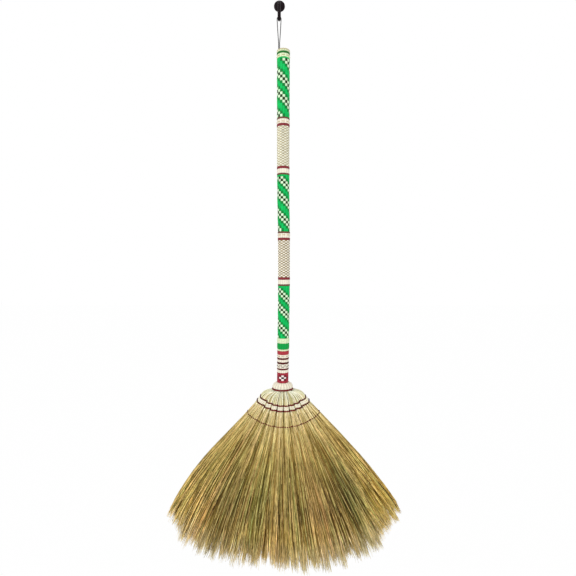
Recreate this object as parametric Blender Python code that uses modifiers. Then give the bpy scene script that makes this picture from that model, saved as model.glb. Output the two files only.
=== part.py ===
"""A straw broom hanging by its cord loop from a small wall hook.

Units are metres, +Z is up. The origin is the middle of the hook's flat back, on the wall, whose
plane is XZ. The broom hangs on the -Y side of the wall, and its fan spreads along X.
"""

import bpy
import bmesh
from math import cos, pi, radians, sin, sqrt
from mathutils import Vector

# Clearance kept between two pieces that touch
GAP = 0.0003
MERGE = 0.00001
OVERRUN = 0.004

# Wall hook
PLATE_RADIUS = 0.011
PLATE_THICKNESS = 0.0045
PLATE_EDGE = 0.0018
PAD_THICKNESS = 0.0010
PAD_INSET = 0.0010
ROD_RADIUS = 0.0028
ROD_SEAT_SHARE = 0.65
HOOK_REACH = 0.032
HOOK_DROP = 0.0432
SADDLE_BEND = 0.009
NECK_BEND = 0.012
TIP_RISE = 0.012

# Cord loop
CORD_RADIUS = 0.0008
LOOP_DROP = 0.0606
LOOP_JOIN = 0.0142
LOOP_CURVE = 0.85
KNOT_RADIUS = 0.0018
TAIL_RADIUS = 0.0011
TAIL_LENGTH = 0.045
CORD_HOLE_WALL = 0.0010

# Handle: radius over the wrapping, and the wrapping's wall
GRIP_RADIUS_TOP = 0.01245
GRIP_RADIUS_FOOT = 0.0109
WRAP_WALL = 0.0015
RING_PROUD = 0.0003
STICK_BELOW_RIM = 0.0008

# Handle: how far each band of the wrapping runs down the stick
END_RIM_WIDTH = 0.0053
CROWN_RING_WIDTH = 0.0036
CROWN_BAND_WIDTH = 0.0069
GREEN_UPPER_WIDTH = 0.1136
IVORY_UPPER_WIDTH = 0.0765
GREEN_MIDDLE_WIDTH = 0.1078
IVORY_LOWER_WIDTH = 0.0706
GREEN_LOWER_WIDTH = 0.0996
FINE_RING_WIDTH = 0.0028
DARK_RING_WIDTH = 0.0042
CREAM_BAND_WIDTH = 0.0084
LOW_CREAM_WIDTH = 0.0093
LOW_GREEN_WIDTH = 0.0110
NARROW_CREAM_WIDTH = 0.0028
RED_BAND_WIDTH = 0.0068
LINED_CREAM_WIDTH = 0.0058
THIN_RING_WIDTH = 0.0030
PLAIN_CREAM_WIDTH = 0.0046
ZIGZAG_RING_WIDTH = 0.0032
MARKED_CREAM_WIDTH = 0.0080
LAST_RING_WIDTH = 0.0026
LAST_CREAM_WIDTH = 0.0052
MOTIF_BAND_WIDTH = 0.0188

# Collar, where the wrapping steps out and flares over the stalks
COLLAR_LENGTH = 0.0103
COLLAR_STEP = 0.0011
COLLAR_FLARE = 0.0074
COLLAR_RING_WIDTH = 0.0034
COLLAR_RING_WALL = 0.0022
COLLAR_DEPTH_SHARE = 0.86

# Stick's lower end, and the stalk butts bound round it
TAPER_START_RISE = 0.0190
WAIST_RADIUS = 0.0060
PEG_LENGTH = 0.0380
PEG_TIP_RADIUS = 0.0030
NECK_TOP_SHARE = 0.51
NECK_BINDING_RADIUS = 0.0008
NECK_BINDING_SHARE = 0.55

# Fan of straw: it spreads from a centre inside the handle's foot, which its lengths run away from
FAN_CENTRE_RISE = 0.0385
FAN_LEFT = radians(39.5)
FAN_RIGHT = radians(41.5)
HANKS = 8
OUTER_HANK_SHARE = 1.35
SHOULDER_LENGTH = 0.0290
SHOULDER_EDGE_SHARE = 0.95
SHOULDER_CURVE = 6
BAND_LENGTH = 0.0105
SEAM_DROP = 0.0290
HANK_FOOT_LENGTH = 0.0060
STRAW_LENGTH = 0.2630
REACH_VARIATION = 0.0170
SHOULDER_HALF_DEPTH = 0.0155
BAND_HALF_DEPTH = 0.0122
SEAM_HALF_DEPTH = 0.0125
TIP_HALF_DEPTH = 0.0210
HANK_BULGE_SHARE = 0.07
EDGE_DEPTH_SHARE = 0.55

# Strands of straw
STRANDS_ACROSS = 7
STRAND_LAYERS = 6
STRAND_EMBED = 0.006
STRAND_ROOT_RADIUS = 0.00080
STRAND_MIDDLE_RADIUS = 0.0021
STRAND_MIDDLE_SHARE = 0.66
STRAND_LAYER_SHARE = 0.86
STRAND_SIDES = 3
EDGE_SHORTER_SHARE = 0.8

# Cords sewn round the head
STITCH_CORD_RADIUS = 0.0011
SEAM_THREAD_RADIUS = 0.0007
BAND_WALL = 0.0016
BAND_MARGIN = 0.0006

# How finely round shapes are divided
HANDLE_SIDES = 20
PLATE_SIDES = 32
CORD_HOLE_SIDES = 10
KNOT_SEGMENTS = 12
KNOT_RINGS = 8
BINDING_STEPS = 20
NECK_STEPS = 8
SADDLE_STEPS = 14
TWIN_STEPS = 7
LEG_STEPS = 14
CROWN_STEPS = 10
TAIL_STEPS = 4
DOME_ANGLES = (0, pi / 6, pi / 3, pi / 2)
ROD_END_ANGLES = (0, pi / 6, pi / 3, pi * 0.45)
HANK_FACETS = 3
CORNER_ANGLE = radians(40)
SHARP_ANGLE = radians(38)

BROOM = bpy.data.collections.new("straw_broom")
CUTTERS = bpy.data.collections.new("cutters")

FINISHES = {
    "black_coating": ((0.012, 0.012, 0.013), 0.38, 0.0),
    "pad_foam": ((0.10, 0.10, 0.10), 0.85, 0.0),
    "dark_cord": ((0.035, 0.033, 0.032), 0.75, 0.0),
    "bare_wood": ((0.47, 0.31, 0.16), 0.65, 0.0),
    "tan_strip": ((0.62, 0.50, 0.31), 0.55, 0.0),
    "green_strip": ((0.010, 0.46, 0.085), 0.38, 0.0),
    "ivory_strip": ((0.76, 0.66, 0.44), 0.50, 0.0),
    "cream_strip": ((0.86, 0.79, 0.58), 0.50, 0.0),
    "red_strip": ((0.33, 0.035, 0.055), 0.45, 0.0),
    "red_cord": ((0.25, 0.012, 0.030), 0.65, 0.0),
    "steel_wire": ((0.45, 0.44, 0.42), 0.40, 1.0),
    "pale_stalk": ((0.70, 0.62, 0.36), 0.60, 0.0),
    "straw": ((0.38, 0.28, 0.11), 0.70, 0.0),
}


def clear_scene():
    """Remove every object that the scene holds."""
    for thing in list(bpy.data.objects):
        bpy.data.objects.remove(thing, do_unlink=True)


def finish(name):
    """The material of one finish, made the first time that it is asked for."""
    found = bpy.data.materials.get(name)
    if found:
        return found
    colour, roughness, metallic = FINISHES[name]
    made = bpy.data.materials.new(name)
    made.use_nodes = True
    shader = made.node_tree.nodes["Principled BSDF"]
    shader.inputs["Base Color"].default_value = (*colour, 1.0)
    shader.inputs["Roughness"].default_value = roughness
    shader.inputs["Metallic"].default_value = metallic
    made.diffuse_color = (*colour, 1.0)
    return made


def add(name, data, finish_name, collection=BROOM):
    """An object with its own copy of a finish, in a collection."""
    made = bpy.data.objects.new(name, data)
    collection.objects.link(made)
    if finish_name:
        own = finish(finish_name).copy()
        own.name = name
        data.materials.append(own)
    return made


def mesh_from(name, points, faces):
    """A mesh with its faces turned outwards."""
    made = bpy.data.meshes.new(name)
    made.from_pydata(points, [], faces)
    shell = bmesh.new()
    shell.from_mesh(made)
    bmesh.ops.remove_doubles(shell, verts=shell.verts, dist=MERGE)
    bmesh.ops.recalc_face_normals(shell, faces=shell.faces)
    shell.to_mesh(made)
    shell.free()
    return made


def turned(name, profile, finish_name, place, sides=HANDLE_SIDES, closed=True, collection=BROOM):
    """A turned solid: a profile of (radius, height) points, carried round Z by a Screw."""
    points = [(radius, 0, height) for radius, height in profile]
    edges = [(n, n + 1) for n in range(len(points) - 1)]
    if closed:
        edges.append((len(points) - 1, 0))
    outline = bpy.data.meshes.new(name)
    outline.from_pydata(points, edges, [])
    made = add(name, outline, finish_name, collection)
    made.location = place
    screw = made.modifiers.new("turn", "SCREW")
    screw.axis = "Z"
    screw.steps = sides
    screw.render_steps = sides
    screw.use_merge_vertices = True
    screw.merge_threshold = MERGE
    settle(made)
    return made


def settle(piece):
    """Replace a piece's data by the mesh that its modifiers make, smooth where it is round."""
    bpy.context.view_layer.update()
    made = bpy.data.meshes.new_from_object(piece.evaluated_get(bpy.context.evaluated_depsgraph_get()))
    made.shade_smooth()
    made.set_sharp_from_angle(angle=SHARP_ANGLE)
    piece.modifiers.clear()
    piece.data = made


def tube(name, route, radius, finish_name, cyclic=False, resolution=2, swell=None):
    """A round tube along a route of points, with closed ends."""
    line = bpy.data.curves.new(name, "CURVE")
    line.dimensions = "3D"
    line.bevel_depth = radius
    line.bevel_resolution = resolution
    line.use_fill_caps = not cyclic
    spline = line.splines.new("POLY")
    spline.points.add(len(route) - 1)
    for n, spot in enumerate(route):
        spline.points[n].co = (*spot, 1)
        spline.points[n].radius = swell[n] if swell else 1
    spline.use_cyclic_u = cyclic
    return add(name, line, finish_name)


def arc(centre, radius, start, end, steps):
    """Points of an arc in the YZ plane, from one angle to another, both ends included."""
    turn = (end - start) / steps
    angles = [start + turn * n for n in range(steps + 1)]
    return [Vector((0, centre[0] + radius * cos(a), centre[1] + radius * sin(a))) for a in angles]


def cut(piece, cutter):
    """Take a cutter's shape out of a piece."""
    cutter.hide_render = True
    cutter.display_type = "WIRE"
    boolean = piece.modifiers.new("cut", "BOOLEAN")
    boolean.operation = "DIFFERENCE"
    boolean.solver = "EXACT"
    boolean.object = cutter


# Places that follow from the sizes
SADDLE = Vector((0, -HOOK_REACH, -HOOK_DROP))
KNOT = SADDLE - Vector((0, 0, LOOP_DROP))
STICK_TOP = KNOT.z - KNOT_RADIUS - GAP
STICK_RADIUS_TOP = GRIP_RADIUS_TOP - WRAP_WALL - GAP
CORD_HOLE_RADIUS = TAIL_RADIUS + GAP
CORD_OFFSET = STICK_RADIUS_TOP - CORD_HOLE_WALL - CORD_HOLE_RADIUS
AXIS = Vector((KNOT.x + CORD_OFFSET, KNOT.y, 0))

WRAPPING = [
    ("end_rim", "tan_strip", END_RIM_WIDTH, RING_PROUD),
    ("crown_green_ring", "green_strip", CROWN_RING_WIDTH, RING_PROUD),
    ("crown_cream_band", "cream_strip", CROWN_BAND_WIDTH, 0),
    ("green_weave_upper", "green_strip", GREEN_UPPER_WIDTH, 0),
    ("first_fine_ring", "red_strip", FINE_RING_WIDTH, RING_PROUD),
    ("first_cream_band", "cream_strip", CREAM_BAND_WIDTH, 0),
    ("first_dark_ring", "red_strip", DARK_RING_WIDTH, RING_PROUD),
    ("ivory_weave_upper", "ivory_strip", IVORY_UPPER_WIDTH, 0),
    ("second_dark_ring", "red_strip", DARK_RING_WIDTH, RING_PROUD),
    ("second_cream_band", "cream_strip", CREAM_BAND_WIDTH, 0),
    ("second_fine_ring", "red_strip", FINE_RING_WIDTH, RING_PROUD),
    ("green_weave_middle", "green_strip", GREEN_MIDDLE_WIDTH, 0),
    ("third_fine_ring", "red_strip", FINE_RING_WIDTH, RING_PROUD),
    ("third_cream_band", "cream_strip", CREAM_BAND_WIDTH, 0),
    ("third_dark_ring", "red_strip", DARK_RING_WIDTH, RING_PROUD),
    ("ivory_weave_lower", "ivory_strip", IVORY_LOWER_WIDTH, 0),
    ("fourth_dark_ring", "red_strip", DARK_RING_WIDTH, RING_PROUD),
    ("fourth_cream_band", "cream_strip", CREAM_BAND_WIDTH, 0),
    ("fourth_fine_ring", "red_strip", FINE_RING_WIDTH, RING_PROUD),
    ("green_weave_lower", "green_strip", GREEN_LOWER_WIDTH, 0),
    ("low_cream_band", "cream_strip", LOW_CREAM_WIDTH, 0),
    ("low_green_band", "green_strip", LOW_GREEN_WIDTH, RING_PROUD),
    ("narrow_cream_band", "cream_strip", NARROW_CREAM_WIDTH, 0),
    ("plain_red_band", "red_strip", RED_BAND_WIDTH, 0),
    ("lined_cream_band", "cream_strip", LINED_CREAM_WIDTH, 0),
    ("thin_red_ring", "red_strip", THIN_RING_WIDTH, RING_PROUD),
    ("plain_cream_band", "cream_strip", PLAIN_CREAM_WIDTH, 0),
    ("zigzag_ring", "red_strip", ZIGZAG_RING_WIDTH, RING_PROUD),
    ("marked_cream_band", "cream_strip", MARKED_CREAM_WIDTH, 0),
    ("last_red_ring", "red_strip", LAST_RING_WIDTH, RING_PROUD),
    ("last_cream_band", "cream_strip", LAST_CREAM_WIDTH, 0),
    ("motif_red_band", "red_strip", MOTIF_BAND_WIDTH, 0),
]
WRAPPING_LENGTH = sum(width + GAP for name, look, width, proud in WRAPPING)
WRAPPING_TOP = STICK_TOP + STICK_BELOW_RIM
COLLAR_TOP = WRAPPING_TOP - WRAPPING_LENGTH
COLLAR_TOP_RADIUS = GRIP_RADIUS_FOOT + COLLAR_STEP
COLLAR_FOOT_RADIUS = COLLAR_TOP_RADIUS + COLLAR_FLARE
COLLAR_FOOT = COLLAR_TOP - COLLAR_LENGTH
RING_FOOT = COLLAR_FOOT - GAP - COLLAR_RING_WIDTH
FAN_CENTRE = Vector((AXIS.x, AXIS.y, RING_FOOT + FAN_CENTRE_RISE))
UPPER_STITCH_RADIUS = FAN_CENTRE_RISE + SHOULDER_LENGTH
LOWER_STITCH_RADIUS = UPPER_STITCH_RADIUS + BAND_LENGTH
SEAM_RADIUS = LOWER_STITCH_RADIUS + SEAM_DROP
HANK_FOOT_RADIUS = SEAM_RADIUS + HANK_FOOT_LENGTH
STRAW_REACH = HANK_FOOT_RADIUS + STRAW_LENGTH


def grip_radius(height):
    """The radius over the wrapping at a height, which tapers evenly down the handle."""
    share = (WRAPPING_TOP - height) / WRAPPING_LENGTH
    return GRIP_RADIUS_TOP + (GRIP_RADIUS_FOOT - GRIP_RADIUS_TOP) * share


def stick_radius(height):
    """The bare stick's radius where it is wrapped."""
    return grip_radius(height) - WRAP_WALL - GAP


def build_hook():
    """The wall hook: an adhesive pad, a domed plate and a bent rod that is seated in it."""
    pad_radius = PLATE_RADIUS - PAD_INSET
    bpy.ops.mesh.primitive_cylinder_add(vertices=PLATE_SIDES, radius=pad_radius, depth=PAD_THICKNESS)
    pad = bpy.context.object
    pad.name = "hook_pad"
    pad.data.name = "hook_pad"
    pad.data.materials.append(finish("pad_foam"))
    pad.rotation_euler = (pi / 2, 0, 0)
    pad.location = (0, -PAD_THICKNESS / 2, 0)
    for holder in list(pad.users_collection):
        holder.objects.unlink(pad)
    BROOM.objects.link(pad)

    back = PAD_THICKNESS + GAP
    face = back + PLATE_THICKNESS
    seat = face - PLATE_THICKNESS * ROD_SEAT_SHARE
    bore = ROD_RADIUS + GAP
    shoulder = back + PLATE_EDGE
    bend = PLATE_THICKNESS - PLATE_EDGE
    dome = [(PLATE_RADIUS - bend + bend * sin(a), shoulder + bend * cos(a)) for a in DOME_ANGLES]
    profile = [(0, seat), (bore, seat), (bore, face), *dome, (PLATE_RADIUS, back), (0, back)]
    plate = turned("hook_plate", profile, "black_coating", (0, 0, 0), PLATE_SIDES, closed=False)
    plate.rotation_euler = (pi / 2, 0, 0)

    rear = -HOOK_REACH + SADDLE_BEND
    front = -HOOK_REACH - SADDLE_BEND
    turn_height = -HOOK_DROP + SADDLE_BEND
    start = Vector((0, -seat - GAP, 0))
    neck = arc((rear + NECK_BEND, -NECK_BEND), NECK_BEND, pi / 2, pi, NECK_STEPS)
    saddle = arc((-HOOK_REACH, turn_height), SADDLE_BEND, 0, -pi, SADDLE_STEPS)
    tip = Vector((0, front, turn_height + TIP_RISE))
    round_end = [tip + Vector((0, 0, ROD_RADIUS * sin(a))) for a in ROD_END_ANGLES]
    swell = [1] * (1 + len(neck) + len(saddle)) + [cos(a) for a in ROD_END_ANGLES]
    tube("hook_rod", [start, *neck, *saddle, *round_end], ROD_RADIUS, "black_coating", swell=swell)


def loop_route():
    """The cord's middle line: up from the knot, over the hook's rod and down to the knot."""
    over = ROD_RADIUS + GAP + CORD_RADIUS
    together = CORD_RADIUS + GAP / 2
    start = sqrt((KNOT_RADIUS + GAP) ** 2 - together ** 2) + GAP
    join = KNOT.z + LOOP_JOIN
    side = []
    for n in range(TWIN_STEPS):
        side.append((together, KNOT.z + start + (LOOP_JOIN - start) * n / TWIN_STEPS))
    for n in range(LEG_STEPS):
        share = n / LEG_STEPS
        side.append((together + (over - together) * share ** LOOP_CURVE, join + (SADDLE.z - join) * share))
    turns = [pi * n / CROWN_STEPS for n in range(CROWN_STEPS + 1)]
    crown = [(over * cos(a), SADDLE.z + over * sin(a)) for a in turns]
    other = [(-x, z) for x, z in reversed(side)]
    return [Vector((KNOT.x + x, KNOT.y, z)) for x, z in [*side, *crown, *other]]


def build_loop():
    """The cord loop, the knot that it ends in, and its tail, which is glued into the stick."""
    tube("hanging_cord", loop_route(), CORD_RADIUS, "dark_cord")
    ball = bpy.data.meshes.new("loop_knot")
    shell = bmesh.new()
    bmesh.ops.create_uvsphere(shell, u_segments=KNOT_SEGMENTS, v_segments=KNOT_RINGS, radius=KNOT_RADIUS)
    shell.to_mesh(ball)
    shell.free()
    add("loop_knot", ball, "dark_cord").location = KNOT
    top = KNOT.z - KNOT_RADIUS - GAP
    steps = range(TAIL_STEPS + 1)
    spots = [Vector((KNOT.x, KNOT.y, top - TAIL_LENGTH * n / TAIL_STEPS)) for n in steps]
    tube("cord_tail", spots, TAIL_RADIUS, "dark_cord")


def build_stick():
    """The wooden stick, tapered at its foot to a peg, with the cord's hole down one side."""
    taper = COLLAR_TOP + TAPER_START_RISE
    waist = COLLAR_TOP - GAP
    foot = RING_FOOT - PEG_LENGTH
    profile = [
        (0, STICK_TOP),
        (stick_radius(STICK_TOP), STICK_TOP),
        (stick_radius(taper), taper),
        (WAIST_RADIUS, waist),
        (WAIST_RADIUS, RING_FOOT),
        (PEG_TIP_RADIUS, foot),
        (0, foot),
    ]
    stick = turned("handle_stick", profile, "bare_wood", AXIS, closed=False)
    hole_top = STICK_TOP + OVERRUN
    hole_foot = STICK_TOP - TAIL_LENGTH - GAP
    hole = [(0, hole_top), (CORD_HOLE_RADIUS, hole_top), (CORD_HOLE_RADIUS, hole_foot), (0, hole_foot)]
    place = (KNOT.x, KNOT.y, 0)
    drill = turned("cord_hole", hole, None, place, CORD_HOLE_SIDES, closed=False, collection=CUTTERS)
    cut(stick, drill)


def build_wrapping():
    """The bands that are woven and wound round the stick, from its top down."""
    top = WRAPPING_TOP
    for name, look, width, proud in WRAPPING:
        foot = top - width
        profile = [
            (grip_radius(top) + proud, top),
            (grip_radius(foot) + proud, foot),
            (grip_radius(foot) - WRAP_WALL, foot),
            (grip_radius(top) - WRAP_WALL, top),
        ]
        turned(name, profile, look, AXIS)
        top = foot - GAP


def flatten(piece, top, foot):
    """Draw a turned piece in along Y, more and more from one height to another, except at its bore."""
    for vertex in piece.data.vertices:
        share = min(1, max(0, (top - vertex.co.z) / (top - foot)))
        if vertex.co.xy.length > WAIST_RADIUS + 2 * GAP:
            vertex.co.y *= 1 + (COLLAR_DEPTH_SHARE - 1) * share


def build_collar():
    """The flared collar, the cord at its foot, and the bound stalk butts under it."""
    collar = [
        (COLLAR_TOP_RADIUS, COLLAR_TOP),
        (COLLAR_FOOT_RADIUS, COLLAR_FOOT),
        (COLLAR_FOOT_RADIUS - WRAP_WALL, COLLAR_FOOT),
        (COLLAR_TOP_RADIUS - WRAP_WALL, COLLAR_TOP),
    ]
    ring_top = COLLAR_FOOT - GAP
    ring_middle = ring_top - COLLAR_RING_WIDTH / 2
    ring_radius = COLLAR_FOOT_RADIUS + RING_PROUD
    ring = [
        (COLLAR_FOOT_RADIUS - RING_PROUD, ring_top),
        (ring_radius + RING_PROUD, ring_middle),
        (COLLAR_FOOT_RADIUS - RING_PROUD, RING_FOOT),
        (ring_radius - COLLAR_RING_WALL, RING_FOOT),
        (ring_radius - COLLAR_RING_WALL, ring_top),
    ]
    neck_top = COLLAR_TOP + TAPER_START_RISE * NECK_TOP_SHARE
    binding_height = COLLAR_FOOT + COLLAR_LENGTH * NECK_BINDING_SHARE
    slope = (COLLAR_FOOT_RADIUS - COLLAR_TOP_RADIUS) / COLLAR_LENGTH
    binding_inside = COLLAR_TOP_RADIUS - WRAP_WALL - 2 * GAP - 2 * NECK_BINDING_RADIUS
    binding_inside += slope * (COLLAR_TOP - binding_height)
    taper = COLLAR_TOP + TAPER_START_RISE
    taper_share = (taper - neck_top) / (taper - COLLAR_TOP + GAP)
    stick_there = stick_radius(taper) + (WAIST_RADIUS - stick_radius(taper)) * taper_share
    neck = [
        (stick_radius(neck_top), neck_top),
        (stick_radius(COLLAR_TOP), COLLAR_TOP),
        (binding_inside - GAP, binding_height + NECK_BINDING_RADIUS),
        (binding_inside - GAP, binding_height - NECK_BINDING_RADIUS),
        (ring_radius - COLLAR_RING_WALL - GAP, RING_FOOT + GAP),
        (WAIST_RADIUS + GAP, RING_FOOT + GAP),
        (WAIST_RADIUS + GAP, COLLAR_TOP),
        (stick_there + GAP, neck_top),
    ]
    made = [
        turned("cream_collar", collar, "cream_strip", AXIS),
        turned("collar_cord_ring", ring, "red_cord", AXIS),
        turned("stalk_neck", neck, "pale_stalk", AXIS),
    ]
    for piece in made:
        flatten(piece, COLLAR_TOP, RING_FOOT)
    return binding_inside + NECK_BINDING_RADIUS, binding_height


def build_neck_binding(radius, height):
    """The wire wound round the stalk butts, hidden under the collar."""
    share = (COLLAR_TOP - height) / (COLLAR_TOP - RING_FOOT)
    depth = radius * (1 + (COLLAR_DEPTH_SHARE - 1) * share)
    steps = BINDING_STEPS
    turns = [2 * pi * n / steps for n in range(steps)]
    route = [AXIS + Vector((radius * cos(a), depth * sin(a), height)) for a in turns]
    tube("neck_binding", route, NECK_BINDING_RADIUS, "steel_wire", cyclic=True, resolution=1)


def fan_point(reach, angle, depth):
    """A point of the fan: a distance from its centre, an angle from straight down, and a depth."""
    return FAN_CENTRE + Vector((reach * sin(angle), depth, -reach * cos(angle)))


def spread_share(angle):
    """How far out an angle lies in the fan: 0 in the middle, 1 at either edge."""
    limit = FAN_RIGHT if angle > 0 else FAN_LEFT
    return min(1, abs(angle) / limit)


def half_depth(reach, angle):
    """Half the fan's thickness: it is drawn in at the stitched band and opens to the tips."""
    collar = FAN_CENTRE_RISE
    knots = [
        (collar, SHOULDER_HALF_DEPTH),
        (UPPER_STITCH_RADIUS, BAND_HALF_DEPTH),
        (LOWER_STITCH_RADIUS, BAND_HALF_DEPTH),
        (SEAM_RADIUS, SEAM_HALF_DEPTH),
        (STRAW_REACH, TIP_HALF_DEPTH),
    ]
    depth = knots[0][1]
    for (near, thin), (far, thick) in zip(knots, knots[1:]):
        share = min(1, max(0, (reach - near) / (far - near)))
        depth += (thick - thin) * share
    return depth * sqrt(1 - (1 - EDGE_DEPTH_SHARE ** 2) * spread_share(angle) ** 2)


def shoulder_radius(angle):
    """Where the stalks come out from under the collar: level in the middle, drooping to the sides."""
    level = (FAN_CENTRE_RISE + GAP) / cos(angle)
    share = SHOULDER_EDGE_SHARE * spread_share(angle) ** SHOULDER_CURVE
    return level + (UPPER_STITCH_RADIUS - level) * share


def hank_edges(number):
    """The two angles that a hank lies between: the hank at either edge of the fan is the widest."""
    half = HANKS // 2
    bounds = []
    for step in range(-half, half + 1):
        limit = FAN_RIGHT if step > 0 else FAN_LEFT
        out = half - 1 + OUTER_HANK_SHARE if abs(step) == half else abs(step)
        bounds.append((1 if step > 0 else -1) * limit * out / (half - 1 + OUTER_HANK_SHARE))
    return bounds[number], bounds[number + 1]


def hank_body(number):
    """The bound part of a hank: a loft of rounded wedges from the shoulder to below the seam."""
    left, right = hank_edges(number)
    across = HANK_FACETS
    rows = [0, 0.5, 1, 2, 3, 4]
    fixed = [UPPER_STITCH_RADIUS, LOWER_STITCH_RADIUS, SEAM_RADIUS, HANK_FOOT_RADIUS]
    points = []
    for row in rows:
        for side in (-1, 1):
            for n in range(across + 1):
                share = n / across
                angle = left + (right - left) * share
                if row < 1:
                    top = shoulder_radius(angle)
                    reach = top + (UPPER_STITCH_RADIUS - top) * row
                else:
                    reach = fixed[row - 1]
                inset = GAP / 2 / reach
                angle += inset * (1 - 2 * share)
                swell = 1 + HANK_BULGE_SHARE * sin(pi * share)
                points.append(fan_point(reach, angle, side * half_depth(reach, angle) * swell))
    ring = 2 * (across + 1)
    order = [*range(across + 1), *reversed(range(across + 1, ring))]
    faces = []
    for row in range(len(rows) - 1):
        for n in range(ring):
            a, b = order[n], order[(n + 1) % ring]
            faces.append((row * ring + a, row * ring + b, (row + 1) * ring + b, (row + 1) * ring + a))
    for base in (0, (len(rows) - 1) * ring):
        for n in range(across):
            front, back = base + n, base + across + 1 + n
            faces.append((front, front + 1, back + 1, back))
    return points, faces


def scatter(a, b, c):
    """A fixed number from 0 to 1 for a strand, which looks unordered."""
    return (sin(a * 12.9898 + b * 78.233 + c * 37.719) * 43758.5453) % 1


def hank_strands(number):
    """The strands of a hank: slim three-sided spindles that spread from its foot, none crossing."""
    left, right = hank_edges(number)
    root = HANK_FOOT_RADIUS - STRAND_EMBED
    margin = (STRAND_ROOT_RADIUS + GAP) / root
    even = (FAN_LEFT + FAN_RIGHT) / (HANKS - 2 + 2 * OUTER_HANK_SHARE)
    across = round(STRANDS_ACROSS * (right - left) / even)
    points, faces = [], []
    for layer in range(STRAND_LAYERS):
        depth_share = STRAND_LAYER_SHARE * (2 * (layer + 0.5) / STRAND_LAYERS - 1)
        stagger = ((2 * layer) % STRAND_LAYERS + layer // 3 + 0.5) / STRAND_LAYERS
        for n in range(across):
            share = (n + stagger) / across
            angle = left + (right - left) * share
            start = left + margin + (right - left - 2 * margin) * share
            longest = STRAW_REACH - REACH_VARIATION * EDGE_SHORTER_SHARE * spread_share(angle) ** 3
            tip = longest - REACH_VARIATION * scatter(number, layer, n) ** 2
            middle = HANK_FOOT_RADIUS + (tip - HANK_FOOT_RADIUS) * STRAND_MIDDLE_SHARE
            aside = Vector((cos(angle), 0, sin(angle)))
            first = len(points)
            for reach, radius, way in (
                (root, STRAND_ROOT_RADIUS, start),
                (middle, STRAND_MIDDLE_RADIUS, angle),
            ):
                centre = fan_point(reach, way, half_depth(reach, way) * depth_share)
                for corner in range(STRAND_SIDES):
                    turn = 2 * pi * corner / STRAND_SIDES + pi / 2 * (-1) ** layer
                    points.append(centre + aside * radius * cos(turn) + Vector((0, radius * sin(turn), 0)))
            points.append(fan_point(tip, angle, half_depth(tip, angle) * depth_share))
            faces.append(tuple(range(first, first + STRAND_SIDES)))
            for a in range(STRAND_SIDES):
                b = (a + 1) % STRAND_SIDES
                near, far = first + a, first + STRAND_SIDES + a
                faces.append((near, first + b, first + STRAND_SIDES + b, far))
                faces.append((far, first + STRAND_SIDES + b, first + 2 * STRAND_SIDES))
    return points, faces


def build_hanks():
    """Each hank: its bound body and its strands, joined into one solid."""
    cutter = turned(
        "peg_clearance",
        [
            (0, RING_FOOT + OVERRUN),
            (WAIST_RADIUS + GAP, RING_FOOT + OVERRUN),
            (WAIST_RADIUS + GAP, RING_FOOT),
            (PEG_TIP_RADIUS + GAP, RING_FOOT - PEG_LENGTH - GAP),
            (0, RING_FOOT - PEG_LENGTH - GAP),
        ],
        None, AXIS, closed=False, collection=CUTTERS)
    for number in range(HANKS):
        name = f"hank_{number + 1}"
        piece = add(name, mesh_from(name, *hank_body(number)), "straw")
        triangulate = piece.modifiers.new("plain faces", "TRIANGULATE")
        triangulate.quad_method = "BEAUTY"
        if number in (HANKS // 2 - 1, HANKS // 2):
            cut(piece, cutter)
        strands = add(f"strands_{number + 1}", mesh_from(name, *hank_strands(number)), None, CUTTERS)
        strands.hide_render = True
        strands.display_type = "WIRE"
        join = piece.modifiers.new("strands", "BOOLEAN")
        join.operation = "UNION"
        join.solver = "EXACT"
        join.object = strands


def head_outline(reach):
    """The head's outline over the crowns of its hanks, as (distance along the arc, depth) points."""
    front = [(-FAN_LEFT * reach, half_depth(reach, -FAN_LEFT))]
    for number in range(HANKS):
        left, right = hank_edges(number)
        for n in range(1, HANK_FACETS):
            share = n / HANK_FACETS
            angle = left + (right - left) * share
            swell = 1 + HANK_BULGE_SHARE * sin(pi * share)
            front.append((angle * reach, half_depth(reach, angle) * swell))
    front.append((FAN_RIGHT * reach, half_depth(reach, FAN_RIGHT)))
    return [(along, -depth) for along, depth in front] + front[::-1]


def head_loop(reach, stand_off):
    """A closed route round the head at a distance from the fan's centre, clear of the hanks."""
    outline = [Vector(spot) for spot in head_outline(reach)]
    count = len(outline)
    route = []
    for n, spot in enumerate(outline):
        before = (spot - outline[n - 1]).normalized()
        after = (outline[(n + 1) % count] - spot).normalized()
        normals = [Vector((side.y, -side.x)) for side in (before, after)]
        middle = (normals[0] + normals[1]).normalized()
        if normals[0].dot(normals[1]) > cos(CORNER_ANGLE):
            route.append(spot + middle * stand_off / middle.dot(normals[0]))
        else:
            route += [spot + way * stand_off for way in (normals[0], middle, normals[1])]
    return [fan_point(reach, along / reach, depth) for along, depth in route]


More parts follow.
